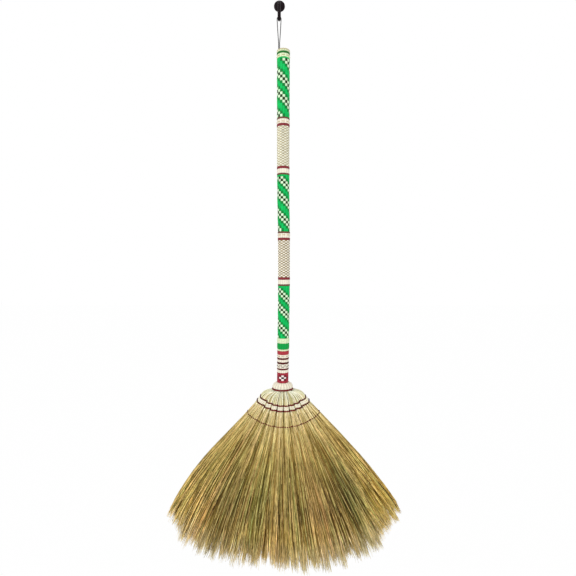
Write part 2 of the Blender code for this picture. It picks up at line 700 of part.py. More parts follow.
def build_head_cords():
    """The two stitch cords, the plaited band between them and the seam lower down."""
    stand_off = GAP + STITCH_CORD_RADIUS
    stitches = {"upper_stitch_cord": UPPER_STITCH_RADIUS, "lower_stitch_cord": LOWER_STITCH_RADIUS}
    for name, reach in stitches.items():
        tube(name, head_loop(reach, stand_off), STITCH_CORD_RADIUS, "red_cord", cyclic=True, resolution=1)
    thread_off = GAP + SEAM_THREAD_RADIUS
    seam = head_loop(SEAM_RADIUS, thread_off)
    tube("seam_thread", seam, SEAM_THREAD_RADIUS, "red_cord", cyclic=True, resolution=1)
    near = UPPER_STITCH_RADIUS + STITCH_CORD_RADIUS + BAND_MARGIN
    far = LOWER_STITCH_RADIUS - STITCH_CORD_RADIUS - BAND_MARGIN
    corners = [(near, GAP + BAND_WALL), (far, GAP + BAND_WALL), (far, GAP), (near, GAP)]
    rings = [head_loop(reach, off) for reach, off in corners]
    count = len(rings[0])
    points = [spot for ring in rings for spot in ring]
    faces = []
    for side in range(4):
        for n in range(count):
            m = (n + 1) % count
            other = (side + 1) % 4
            faces.append((side * count + n, side * count + m, other * count + m, other * count + n))
    add("plaited_band", mesh_from("plaited_band", points, faces), "cream_strip")


def main():
    """Build the broom and its hook."""
    clear_scene()
    for group in (BROOM, CUTTERS):
        bpy.context.scene.collection.children.link(group)
    build_hook()
    build_loop()
    build_stick()
    build_wrapping()
    build_neck_binding(*build_collar())
    build_hanks()
    build_head_cords()


main()
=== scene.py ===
"""The looks of a straw broom that hangs by its cord loop from a small wall hook.

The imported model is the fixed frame. Units are metres, +Z is up, the wall is the plane y = 0 and the
broom hangs on its -Y side. Angles round the handle start at its front and grow towards +X.
"""

import logging
from collections.abc import Sequence
from dataclasses import dataclass, field
from enum import Enum
from math import cos, pi, radians, sin, sqrt
from typing import Protocol

import bpy
import numpy as np
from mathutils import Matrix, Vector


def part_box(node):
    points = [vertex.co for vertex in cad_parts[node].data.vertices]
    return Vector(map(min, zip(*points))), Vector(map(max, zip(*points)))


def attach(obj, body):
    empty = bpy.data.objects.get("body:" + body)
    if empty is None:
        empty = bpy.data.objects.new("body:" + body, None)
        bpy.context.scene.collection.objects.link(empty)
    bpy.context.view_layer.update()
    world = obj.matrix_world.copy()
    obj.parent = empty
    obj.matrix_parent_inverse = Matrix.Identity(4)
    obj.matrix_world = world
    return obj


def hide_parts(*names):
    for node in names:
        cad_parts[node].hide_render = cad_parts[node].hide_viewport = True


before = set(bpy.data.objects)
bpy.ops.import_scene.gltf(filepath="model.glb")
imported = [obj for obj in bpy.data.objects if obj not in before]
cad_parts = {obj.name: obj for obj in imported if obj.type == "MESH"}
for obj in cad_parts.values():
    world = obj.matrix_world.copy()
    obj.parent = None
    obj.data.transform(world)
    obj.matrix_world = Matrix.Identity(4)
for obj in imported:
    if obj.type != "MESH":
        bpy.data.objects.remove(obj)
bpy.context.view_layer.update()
LOG = logging.getLogger("straw_broom")

Array = np.ndarray
Pair = tuple[float, float]
Triple = tuple[float, float, float]
Colour = Triple
TAU = 2 * pi
MILLIMETRES = 1000
RIGHT, BACK, UP = np.eye(3)
GAP = 0.0003
SEED = 20
HOOK, LOOP, BROOM = "wall_hook", "cord_loop", "broom"


def paint(*screen: float) -> Colour:
    """The linear colour that shaders read for a screen's red, green and blue, each from 0 to 255."""
    shown = np.array(screen) / 255
    return tuple(np.where(shown <= 0.04045, shown / 12.92, ((shown + 0.055) / 1.055) ** 2.4).tolist())


class Wire:
    """An output of a shader node that can stand in Python sums."""

    def __init__(self, tree: "Tree", socket: bpy.types.NodeSocket) -> None:
        """Hold a socket and the tree that it belongs to."""
        self.tree = tree
        self.socket = socket

    def _maths(self, operation: str, first: "Wire | float", second: "Wire | float") -> "Wire":
        """One Math node on two values."""
        return self.tree.node("ShaderNodeMath", {"operation": operation}, {0: first, 1: second})

    def __add__(self, other: "Wire | float") -> "Wire":
        """This value plus another."""
        return self._maths("ADD", self, other)

    def __radd__(self, other: float) -> "Wire":
        """A number plus this value."""
        return self._maths("ADD", other, self)

    def __sub__(self, other: "Wire | float") -> "Wire":
        """This value less another."""
        return self._maths("SUBTRACT", self, other)

    def __rsub__(self, other: float) -> "Wire":
        """A number less this value."""
        return self._maths("SUBTRACT", other, self)

    def __mul__(self, other: "Wire | float") -> "Wire":
        """This value times another."""
        return self._maths("MULTIPLY", self, other)

    def __rmul__(self, other: float) -> "Wire":
        """A number times this value."""
        return self._maths("MULTIPLY", other, self)


class Tree:
    """The nodes of a material or a world."""

    def __init__(self, owner: bpy.types.Material | bpy.types.World) -> None:
        """Turn the owner's nodes on and hold them."""
        owner.use_nodes = True
        self.tree = owner.node_tree

    def feed(self, socket: bpy.types.NodeSocket, value: object) -> None:
        """Link a wire to a socket, or set the socket to a plain value."""
        if isinstance(value, Wire):
            self.tree.links.new(value.socket, socket)
        else:
            socket.default_value = value

    def node(self, kind: str, settings: dict | None = None, inputs: dict | None = None,
             output: int | str = 0) -> Wire:
        """Add a node of any type.

        Args:
            kind: The node's type.
            settings: Its own properties, set before its sockets; stops gives a ramp's (place, colour) pairs.
            inputs: Values or wires by a socket's name or number.
            output: The output to return.

        Returns:
            The wire of that output.
        """
        made = self.tree.nodes.new(kind)
        for name, value in (settings or {}).items():
            if name == "stops":
                ramp = made.color_ramp
                for place, colour in value[2:]:
                    ramp.elements.new(place)
                for element, (place, colour) in zip(ramp.elements, value):
                    element.position = place
                    element.color = (*colour, 1.0)
            else:
                setattr(made, name, value)
        for key, value in (inputs or {}).items():
            self.feed(made.inputs[key], value)
        return Wire(self, made.outputs[output])


class Shading(Tree):
    """The nodes of one material, which end in its Principled shader."""

    def __init__(self, name: str) -> None:
        """Make the material and keep its shader at hand."""
        self.material = bpy.data.materials.new(name)
        super().__init__(self.material)
        self.shader = self.tree.nodes["Principled BSDF"]

    def mix(self, share: "Wire | float", first: object, second: object, blend: str = "MIX") -> Wire:
        """Mix two colours.

        Args:
            share: How much of the second colour is used, from 0 to 1.
            first: A colour or its wire.
            second: A colour or its wire.
            blend: How the two are blended.

        Returns:
            The mixed colour.
        """
        sides = [side if isinstance(side, Wire) else (*side, 1.0) for side in (first, second)]
        settings = {"data_type": "RGBA", "blend_type": blend}
        return self.node("ShaderNodeMix", settings, {0: share, 6: sides[0], 7: sides[1]}, 2)

    def place(self) -> Wire:
        """Where a point lies on the object, in metres."""
        return self.node("ShaderNodeTexCoord", output="Object")

    def strip(self) -> Wire:
        """Where a point lies along and across its strip, in millimetres."""
        return self.node("ShaderNodeUVMap", {"uv_map": "strip"})

    def tint(self, output: str = "Color") -> Wire:
        """The tint that the mesh carries, as a colour or as one number."""
        return self.node("ShaderNodeAttribute", {"attribute_name": "tint"}, output=output)

    def stretch(self, value: Wire, ends: Pair) -> Wire:
        """A value stretched so that it runs from 0 at the first end to 1 at the second."""
        return self.node("ShaderNodeMapRange", None,
                         {"Value": value, "From Min": ends[0], "From Max": ends[1]})

    def noise(self, where: Wire, scale: Sequence[float], detail: float = 3.0) -> Wire:
        """Soft noise from 0 to 1, finer along an axis where its scale is larger.

        Args:
            where: The coordinates to read.
            scale: Patches to a unit along each axis.
            detail: How many finer layers it has.

        Returns:
            The noise's value.
        """
        spread = self.node("ShaderNodeMapping", None, {"Vector": where, "Scale": tuple(scale)})
        return self.node("ShaderNodeTexNoise", None, {"Vector": spread, "Scale": 1.0, "Detail": detail})

    def bump(self, height: Wire, depth: float, strength: float = 1.0) -> None:
        """Raise the surface by a height from 0 to 1, over a depth in metres."""
        inputs = {"Height": height, "Distance": depth, "Strength": strength}
        self.feed(self.shader.inputs["Normal"], self.node("ShaderNodeBump", None, inputs))

    def finish(self, **sockets: object) -> bpy.types.Material:
        """Set the shader's sockets, named with _ for a space, and return the material."""
        for name, value in sockets.items():
            self.feed(self.shader.inputs[name.replace("_", " ")], value)
        return self.material


class Finish(Protocol):
    """What every finish offers: a name and a material."""

    name: str

    def material(self) -> bpy.types.Material:
        """Make the material."""


class PieceFinish(Finish, Protocol):
    """The finish of a new piece, which also has the record's material slot."""

    slot: str


@dataclass(frozen=True)
class StripFinish:
    """Dyed or plain split strip: a tint from the mesh, fine fibres along the strip, a soft sheen."""

    name: str
    slot: str
    roughness: float = 0.46
    fibre_contrast: float = 0.22
    fibres_across: float = 5.0
    fibres_along: float = 0.22
    fibre_depth: float = 0.00012
    mottle_scale: float = 260.0
    mottle_dark: Colour = (0.90, 0.90, 0.92)
    mottle_light: Colour = (1.08, 1.07, 1.05)
    specular: float = 0.13

    def material(self) -> bpy.types.Material:
        """Colour is the tint times fibres times mottle; the fibres also roughen and raise the strip."""
        shading = Shading(self.name)
        fibres = shading.noise(shading.strip(), (self.fibres_along, self.fibres_across, 1.0), 4.0)
        mottle = shading.noise(shading.place(), (self.mottle_scale,) * 3, 2.0)
        dim = shading.mix(fibres, (1 - self.fibre_contrast,) * 3, (1 + self.fibre_contrast,) * 3)
        tone_scale = shading.mix(mottle, self.mottle_dark, self.mottle_light)
        colour = shading.mix(1.0, shading.mix(1.0, shading.tint(), dim, "MULTIPLY"), tone_scale, "MULTIPLY")
        shading.bump(fibres, self.fibre_depth)
        return shading.finish(Base_Color=colour, Roughness=self.roughness + 0.22 * fibres,
                              Specular_IOR_Level=self.specular)


@dataclass(frozen=True)
class StrawFinish:
    """Dry stalk and straw: a tint that each strand carries, with lighter and darker lengths along it.

    A strand's strip coordinates are the distance along it in millimetres and a number of its own.
    """

    name: str
    slot: str
    roughness: float = 0.62
    long_scale: float = 0.028
    fleck_scale: Pair = (0.12, 7.0)
    fleck_share: float = 0.4
    streak_ends: Pair = (0.34, 0.66)
    contrast: float = 0.66
    dark_cast: Colour = (1.0, 0.96, 0.80)
    light_cast: Colour = (0.96, 0.98, 1.01)
    speck_scale: float = 700.0
    speck_ends: Pair = (0.58, 0.72)
    speck_share: float = 0.3
    speck_colour: Colour = paint(112, 86, 52)

    def material(self) -> bpy.types.Material:
        """Colour is the tint times two noises along the strand, darkened where specks are strong."""
        shading = Shading(self.name)
        strip = shading.strip()
        lengths = shading.noise(strip, (self.long_scale, 1.0, 1.0), 1.0)
        flecks = shading.noise(strip, (*self.fleck_scale, 1.0), 1.0)
        specks = shading.noise(shading.place(), (self.speck_scale,) * 3, 2.0)
        both = (1 - self.fleck_share) * lengths + self.fleck_share * flecks
        share = shading.stretch(both, self.streak_ends)
        dark = shading.stretch(specks, self.speck_ends)
        low = tuple((1 - self.contrast) * part for part in self.dark_cast)
        high = tuple((1 + self.contrast) * part for part in self.light_cast)
        colour = shading.mix(1.0, shading.tint(), shading.mix(share, low, high), "MULTIPLY")
        colour = shading.mix(dark * self.speck_share, colour, self.speck_colour)
        shading.bump(flecks, 0.0001, 0.6)
        return shading.finish(Base_Color=colour, Roughness=self.roughness + 0.2 * flecks,
                              Specular_IOR_Level=0.2)


@dataclass(frozen=True)
class CordFinish:
    """Twisted cord: painted shade in its plies' grooves, lighter on their crowns, dull, with short fuzzy
    fibres.
    """

    name: str
    slot: str
    dark: Colour
    light: Colour
    roughness: float = 0.72
    crown_share: float = 0.72
    fuzz_share: float = 0.5
    darkening: float = 0.12
    fuzz_scale: float = 5200.0
    fuzz_depth: float = 0.00015

    def material(self) -> bpy.types.Material:
        """Colour goes from dark to light by the tint that the plies carry, which is painted groove shade, and
        by fuzz.
        """
        shading = Shading(self.name)
        fuzz = shading.noise(shading.place(), (self.fuzz_scale,) * 3)
        # Painted shade: the grooves between plies are darker, the crowns lighter.
        share = self.crown_share * shading.tint("Fac") + self.fuzz_share * fuzz - self.darkening
        shading.bump(fuzz, self.fuzz_depth, 0.8)
        return shading.finish(Base_Color=shading.mix(share, self.dark, self.light),
                              Roughness=self.roughness + 0.2 * fuzz, Specular_IOR_Level=0.2)


@dataclass(frozen=True)
class CoatingFinish:
    """Satin black coating with a faint orange peel and dusty, duller patches."""

    name: str
    slot: str
    base: Colour
    dust: Colour
    dust_share: float = 0.5
    roughness: float = 0.32
    specular: float = 0.06
    peel_scale: float = 2600.0
    peel_depth: float = 0.00003
    patch_scale: float = 420.0

    def material(self) -> bpy.types.Material:
        """Roughness and a little dust follow soft patches; the peel is in the bump."""
        shading = Shading(self.name)
        where = shading.place()
        peel = shading.noise(where, (self.peel_scale,) * 3, 2.0)
        patches = shading.noise(where, (self.patch_scale,) * 3, 4.0)
        shading.bump(peel, self.peel_depth, 0.5)
        return shading.finish(Base_Color=shading.mix(patches * self.dust_share, self.base, self.dust),
                              Roughness=self.roughness + 0.2 * patches, Specular_IOR_Level=self.specular)


@dataclass(frozen=True)
class WoodFinish:
    """Bare wood: growth rings round the stick's own line, with pores along the stick."""

    name: str
    centre: Pair
    early: Colour
    late: Colour
    ring_width: float = 0.0011
    ring_bend: float = 9.0
    bend_scale: Triple = (240.0, 240.0, 12.0)
    pore_scale: Triple = (5200.0, 5200.0, 160.0)

    def material(self) -> bpy.types.Material:
        """Rings are a sine of the distance from the stick's line, bent by noise."""
        shading = Shading(self.name)
        where = shading.place()
        middle = (-self.centre[0], -self.centre[1], 0.0)
        flat = shading.node("ShaderNodeMapping", None,
                            {"Vector": where, "Location": middle, "Scale": (1.0, 1.0, 0.0)})
        length = shading.node("ShaderNodeVectorMath", {"operation": "LENGTH"}, {0: flat}, "Value")
        bend = shading.noise(where, self.bend_scale)
        pores = shading.noise(where, self.pore_scale, 2.0)
        wave = shading.node("ShaderNodeMath", {"operation": "SINE"},
                            {0: length * (TAU / self.ring_width) + bend * self.ring_bend})
        share = wave * 0.28 + 0.4 + pores * 0.3
        shading.bump(pores, 0.0001, 0.7)
        return shading.finish(Base_Color=shading.mix(share, self.early, self.late),
                              Roughness=0.6 + 0.2 * pores)


@dataclass(frozen=True)
class PlainFinish:
    """A hidden piece's finish: one colour, broken up by grain at its own scale."""

    name: str
    light: Colour
    dark: Colour
    grain: Triple
    roughness: float = 0.7
    metallic: float = 0.0
    depth: float = 0.0001

    def material(self) -> bpy.types.Material:
        """Colour, roughness and relief all follow the grain."""
        shading = Shading(self.name)
        grain = shading.noise(shading.place(), self.grain, 4.0)
        shading.bump(grain, self.depth, 0.8)
        return shading.finish(Base_Color=shading.mix(grain, self.light, self.dark),
                              Roughness=self.roughness + 0.2 * grain, Metallic=self.metallic)


@dataclass(frozen=True)
class Curve:
    """A value that runs straight from each place to the next and keeps its end values beyond them."""

    places: tuple[float, ...]
    values: tuple[float, ...]

    def at(self, where: Array | float) -> Array:
        """The value at a place."""
        return np.interp(where, self.places, self.values)


@dataclass
class Patch:
    """Part of a mesh.

    Attributes:
        points: Its points, n by 3.
        quads: Its four-sided faces, as rows of point numbers.
        tints: A colour for each point, n by 3, or for each quad, m by 3.
        caps: Faces with more sides that close its ends.
        strip: Where each quad's corners lie along and across their strip in millimetres, m by 4 by 2.
    """

    points: Array
    quads: Array
    tints: Array
    caps: Array | None = None
    strip: Array | None = None

    def corner_tints(self) -> Array:
        """The tint of every face corner, the quads' first and then the caps'."""
        by_point = len(self.tints) == len(self.points)
        corners = self.tints[self.quads.ravel()] if by_point else np.repeat(self.tints, 4, axis=0)
        if self.caps is None:
            return corners
        last = self.caps.ravel()
        ends = self.tints[last] if by_point else np.repeat(self.tints[:1], len(last), axis=0)
        return np.concatenate([corners, ends])

    def corner_strips(self) -> Array:
        """The strip coordinates of every face corner."""
        if self.strip is None:
            flat = self.points[self.quads.ravel()][:, ::2] * MILLIMETRES
        else:
            flat = self.strip.reshape(-1, 2)
        ends = 0 if self.caps is None else self.caps.size
        return np.concatenate([flat, np.zeros((ends, 2))])


def lattice(rows: int, columns: int, closed_rows: bool) -> Array:
    """The quads of a grid of points whose columns close on themselves.

    Args:
        rows: Points along the grid's first parameter.
        columns: Points along its second, which runs round and closes.
        closed_rows: Whether the last row joins the first.

    Returns:
        Rows of four point numbers: (i, j), (i, j + 1), (i + 1, j + 1), (i + 1, j).
    """
    i, j = np.meshgrid(np.arange(rows if closed_rows else rows - 1), np.arange(columns), indexing="ij")
    far, side = (i + 1) % rows, (j + 1) % columns
    faces = [i * columns + j, i * columns + side, far * columns + side, far * columns + j]
    return np.stack(faces, axis=-1).reshape(-1, 4)


def grid_patch(points: Array, tints: Array, closed_rows: bool = False, strip: Array | None = None) -> Patch:
    """A patch from a grid of points, with its open ends capped.

    Args:
        points: Points, rows by columns by 3. Each row is a closed loop.
        tints: One colour, a colour for each point, or a colour for each quad.
        closed_rows: Whether the last row joins the first; if not, the end rows are capped.
        strip: Strip coordinates of the quads' corners.

    Returns:
        The patch.
    """
    rows, columns = points.shape[:2]
    loop = np.arange(columns)
    caps = None if closed_rows else np.stack([loop[::-1], (rows - 1) * columns + loop])
    flat = np.asarray(tints, float).reshape(-1, 3)
    if len(flat) == 1:
        flat = np.repeat(flat, rows * columns, axis=0)
    return Patch(points.reshape(-1, 3), lattice(rows, columns, closed_rows), flat, caps, strip)


def unit(vectors: Array) -> Array:
    """Vectors made one long."""
    return vectors / np.maximum(np.linalg.norm(vectors, axis=-1, keepdims=True), 1e-12)


def sweep(path: Array, section: Array, guide: Array, closed: bool = False) -> Array:
    """Carry a section along a path.

    Point (i, j) is path i plus a N plus b B, where T is the path's direction there, N is the guide made
    square to T, B is T cross N, and (a, b) is the section's point j, which may change with i.

    Args:
        path: Points, n by 3.
        section: A loop of (a, b) pairs, anticlockwise seen along the path, m by 2 or n by m by 2.
        guide: A direction, or one for each point of the path, never along the path.
        closed: Whether the path closes on itself.

    Returns:
        Points, n by m by 3.
    """
    if closed:
        along = unit(np.roll(path, -1, axis=0) - np.roll(path, 1, axis=0))
    else:
        along = unit(np.gradient(path, axis=0))
    guides = np.broadcast_to(guide, path.shape)
    normal = unit(guides - (guides * along).sum(axis=1, keepdims=True) * along)
    side = np.cross(along, normal)
    pairs = np.broadcast_to(section, (len(path), *section.shape[-2:]))
    return path[:, None] + pairs[..., :1] * normal[:, None] + pairs[..., 1:] * side[:, None]


def round_turn(count: int) -> Array:
    """Evenly spaced angles round a full turn."""
    return TAU * np.arange(count) / count


def circle(count: int) -> Array:
    """Points of a unit circle, count by 2, anticlockwise."""
    turn = round_turn(count)
    return np.stack([np.cos(turn), np.sin(turn)], axis=-1)


@dataclass(frozen=True)
class Twist:
    """How a cord is twisted.

    Attributes:
        plies: Number of plies.
        pitch: Length of one full twist.
        sides: Points round the cord.
        groove_share: Depth of the grooves between plies, as a share of the radius.
    """

    plies: int
    pitch: float
    sides: int
    groove_share: float


def twisted_patch(path: Array, radius: float, guide: Array, twist: Twist, closed: bool = False) -> Patch:
    """A twisted cord along a path.

    The radius at angle t of the section is radius times 1 - g + g |sin(k (t - w s) / 2)|, where g is the
    groove's share, k the number of plies, s the distance along the path and w a turn for each pitch. A
    closed cord has a whole number of ply steps in its length.

    Args:
        path: Points, n by 3.
        radius: The cord's outer radius.
        guide: See sweep.
        twist: How it is twisted.
        closed: Whether the path closes on itself.

    Returns:
        The cord's patch, tinted from 0 in the grooves to 1 on the crowns, which paints shade into the
        grooves.
    """
    ahead = np.roll(path, -1, axis=0) if closed else np.concatenate([path[1:], path[-1:]])
    distance = np.concatenate([[0.0], np.cumsum(np.linalg.norm(ahead - path, axis=1))])
    total, plies = distance[-1], twist.plies
    turns = max(1, round(total * plies / twist.pitch)) / plies if closed else total / twist.pitch
    phase = round_turn(twist.sides)[None] - TAU * turns * distance[:-1, None] / total
    crown = np.abs(np.sin(plies * phase / 2))
    reach = radius * (1 - twist.groove_share + twist.groove_share * crown)
    section = circle(twist.sides)[None] * reach[..., None]
    # The crown tint is painted shade: darkest in the grooves between the plies.
    tints = np.repeat(crown[..., None], 3, axis=-1)
    return grid_patch(sweep(path, section, guide, closed), tints, closed)


def polar(radii: Array, turn: Array, heights: Array) -> Array:
    """Points at radii from the Z axis, at angles from the front towards +X, and at heights."""
    parts = np.broadcast_arrays(radii * np.sin(turn), -radii * np.cos(turn), heights)
    return np.stack(parts, axis=-1)


def turned(radii: Array, heights: Array) -> Array:
    """Points of a shape turned round the Z axis.

    Point (i, j) is (r sin t, -r cos t, h), where t is a full turn's share i, and r and h are entry (i, j)
    of the radii and heights. A profile that runs down its outer side faces outwards.

    Args:
        radii: Radii, angles by profile points.
        heights: Heights, the same shape, or one row.

    Returns:
        Points, angles by profile points by 3.
    """
    return polar(radii, round_turn(len(radii))[:, None], heights)


def strand_patch(centres: Array, radii: Array, tints: Array, keys: Array) -> Patch:
    """Many four-sided strands in one patch.

    Each ring is a diamond round its centre, square to the strand: its corners lie along A and B, where A
    is the strand's direction cross Y and B is square to both.

    Args:
        centres: Middle lines, strands by rings by 3.
        radii: Radii, strands by rings.
        tints: Colours, strands by rings by 3.
        keys: Each strand's own number, its second strip coordinate.

    Returns:
        The patch, with both ends of every strand closed.
    """
    strands, rings = centres.shape[:2]
    steps = np.linalg.norm(np.diff(centres, axis=1, prepend=centres[:, :1]), axis=2)
    distance = MILLIMETRES * np.cumsum(steps, axis=1)
    places = np.stack(np.broadcast_arrays(distance, keys[:, None]), axis=-1)
    along = unit(np.gradient(centres, axis=1))
    aside = unit(np.cross(along, BACK))
    across = np.cross(along, aside)
    ring = circle(4)
    spread = ring[:, 0, None] * aside[..., None, :] + ring[:, 1, None] * across[..., None, :]
    points = centres[..., None, :] + radii[..., None, None] * spread
    first = 4 * rings * np.arange(strands)[:, None, None]
    body = (lattice(rings, 4, False)[None] + first).reshape(-1, 4)
    ends = np.array([[3, 2, 1, 0], [0, 1, 2, 3]]) + np.array([[0], [4 * (rings - 1)]])
    quads = np.concatenate([body, (ends[None] + first).reshape(-1, 4)])
    strip = np.repeat(places.reshape(-1, 2), 4, axis=0)[quads]
    return Patch(points.reshape(-1, 3), quads, np.repeat(tints.reshape(-1, 3), 4, axis=0), None, strip)


def build_mesh(name: str, patches: Sequence[Patch], sharp: float | None) -> bpy.types.Mesh:
    """Join patches into one mesh with a tint and strip coordinates on its face corners.

    Args:
        name: The mesh's name.
        patches: The patches.
        sharp: Angle from which an edge is drawn sharp, or None for a mesh that is smooth all over.

    Returns:
        The mesh.
    """
    loops, sizes, first = [], [], 0
    for patch in patches:
        for faces in (patch.quads, patch.caps):
            if faces is not None:
                loops.append((faces + first).ravel())
                sizes.append(np.full(len(faces), faces.shape[1]))
        first += len(patch.points)
    corners, counts = np.concatenate(loops), np.concatenate(sizes)
    mesh = bpy.data.meshes.new(name)
    mesh.vertices.add(first)
    mesh.vertices.foreach_set("co", np.concatenate([patch.points for patch in patches]).ravel())
    mesh.loops.add(len(corners))
    mesh.loops.foreach_set("vertex_index", corners.astype(np.int32))
    mesh.polygons.add(len(counts))
    mesh.polygons.foreach_set("loop_start", (np.cumsum(counts) - counts).astype(np.int32))
    mesh.update(calc_edges=True)
    colours = np.concatenate([patch.corner_tints() for patch in patches])
    colours = np.concatenate([colours, np.ones((len(colours), 1))], axis=1)
    tint = mesh.attributes.new("tint", "FLOAT_COLOR", "CORNER")
    tint.data.foreach_set("color", colours.astype(np.float32).ravel())
    strip = mesh.uv_layers.new(name="strip")
    places = np.concatenate([patch.corner_strips() for patch in patches])
    strip.data.foreach_set("uv", places.astype(np.float32).ravel())
    mesh.shade_smooth()
    if sharp is not None:
        mesh.set_sharp_from_angle(angle=sharp)
    return mesh


FINISHES: dict[str, bpy.types.Material] = {}


def material_of(finish: Finish) -> bpy.types.Material:
    """The material of a finish, made the first time that it is asked for."""
    if finish.name not in FINISHES:
        FINISHES[finish.name] = finish.material()
    return FINISHES[finish.name]


def place_piece(name: str, patches: Sequence[Patch], finish: PieceFinish, body: str, *nodes: str,
                sharp: float | None = radians(50)) -> bpy.types.Object:
    """Put a new piece in the scene, on its body.

    Args:
        name: The piece's name.
        patches: What its mesh is made of.
        finish: Its finish.
        body: The body that it moves with.
        nodes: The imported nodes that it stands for.
        sharp: See build_mesh.

    Returns:
        The piece.
    """
    mesh = build_mesh(name, patches, sharp)
    mesh.materials.append(material_of(finish))
    piece = bpy.data.objects.new(name, mesh)
    bpy.context.scene.collection.objects.link(piece)
    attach(piece, body)
    if nodes:
        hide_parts(*nodes)
    LOG.info("%s: %d faces", name, len(mesh.polygons))
    return piece

def dress_node(node: str, finish: Finish) -> None:
    """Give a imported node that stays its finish."""
    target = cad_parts[node]
    target.data.materials.clear()
    target.data.materials.append(material_of(finish))
    LOG.info("%s keeps its solid", node)


GREEN = StripFinish("green_strip_finish", "green_strip", roughness=0.40, fibre_contrast=0.16)
IVORY = StripFinish("ivory_strip_finish", "ivory_strip", roughness=0.50)
CREAM = StripFinish("cream_strip_finish", "cream_strip", roughness=0.48, fibre_contrast=0.14)
RED = StripFinish("red_strip_finish", "red_strip", fibre_contrast=0.24)
TAN = StripFinish("tan_strip_finish", "tan_strip", roughness=0.52, fibre_contrast=0.26)
PLAIT = StripFinish("plaited_straw_finish", "plaited_straw", roughness=0.52, fibre_contrast=0.14)
STRAW = StrawFinish("straw_finish", "straw")
STALK = StrawFinish("stalk_finish", "straw", contrast=0.27)
DARK_CORD = CordFinish("dark_cord_finish", "dark_cord", paint(8, 8, 8), paint(34, 32, 31))
RED_CORD = CordFinish("red_cord_finish", "red_cord", paint(42, 8, 12), paint(136, 26, 34))
COLLAR_CORD = CordFinish("collar_cord_finish", "red_cord", paint(46, 12, 14), paint(142, 46, 47))
BLACK = CoatingFinish("black_coating_finish", "black_coating", paint(15, 8, 11), paint(50, 35, 41))
CREAM_TINT = paint(250, 242, 222)


@dataclass(frozen=True)
class Handle:
    """The handle's line and the taper of its wrapping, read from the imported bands.

    The stick is bowed a little: bow is how far it stands off its straight line, to the right, by height.
    """

    x: float
    y: float
    top: float
    top_radius: float
    foot: float
    foot_radius: float
    bow: Curve = Curve((-0.755, -0.700, -0.640, -0.590, -0.520, -0.450, -0.390, -0.300, -0.106),
                       (-0.0016, -0.0008, 0.0, 0.0008, 0.0012, 0.0009, -0.0001, -0.0004, 0.0))

    @classmethod
    def from_frame(cls) -> "Handle":
        """Read the handle from its first cream band and its lowest band."""
        (low, high), (foot_low, foot_high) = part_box("crown_cream_band"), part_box("motif_red_band")
        return cls((low.x + high.x) / 2, (low.y + high.y) / 2, high.z, (high.x - low.x) / 2,
                   foot_high.z, (foot_high.x - foot_low.x) / 2)

    def radius(self, height: Array | float) -> Array | float:
        """The radius over the wrapping at a height."""
        share = (self.top - height) / (self.top - self.foot)
        return self.top_radius + (self.foot_radius - self.top_radius) * share

    def stand(self, points: Array) -> Array:
        """Move points that are turned round the Z axis onto the handle's bowed line."""
        placed = points + np.array([self.x, self.y, 0.0])
        placed[..., 0] += self.bow.at(points[..., 2])
        return placed


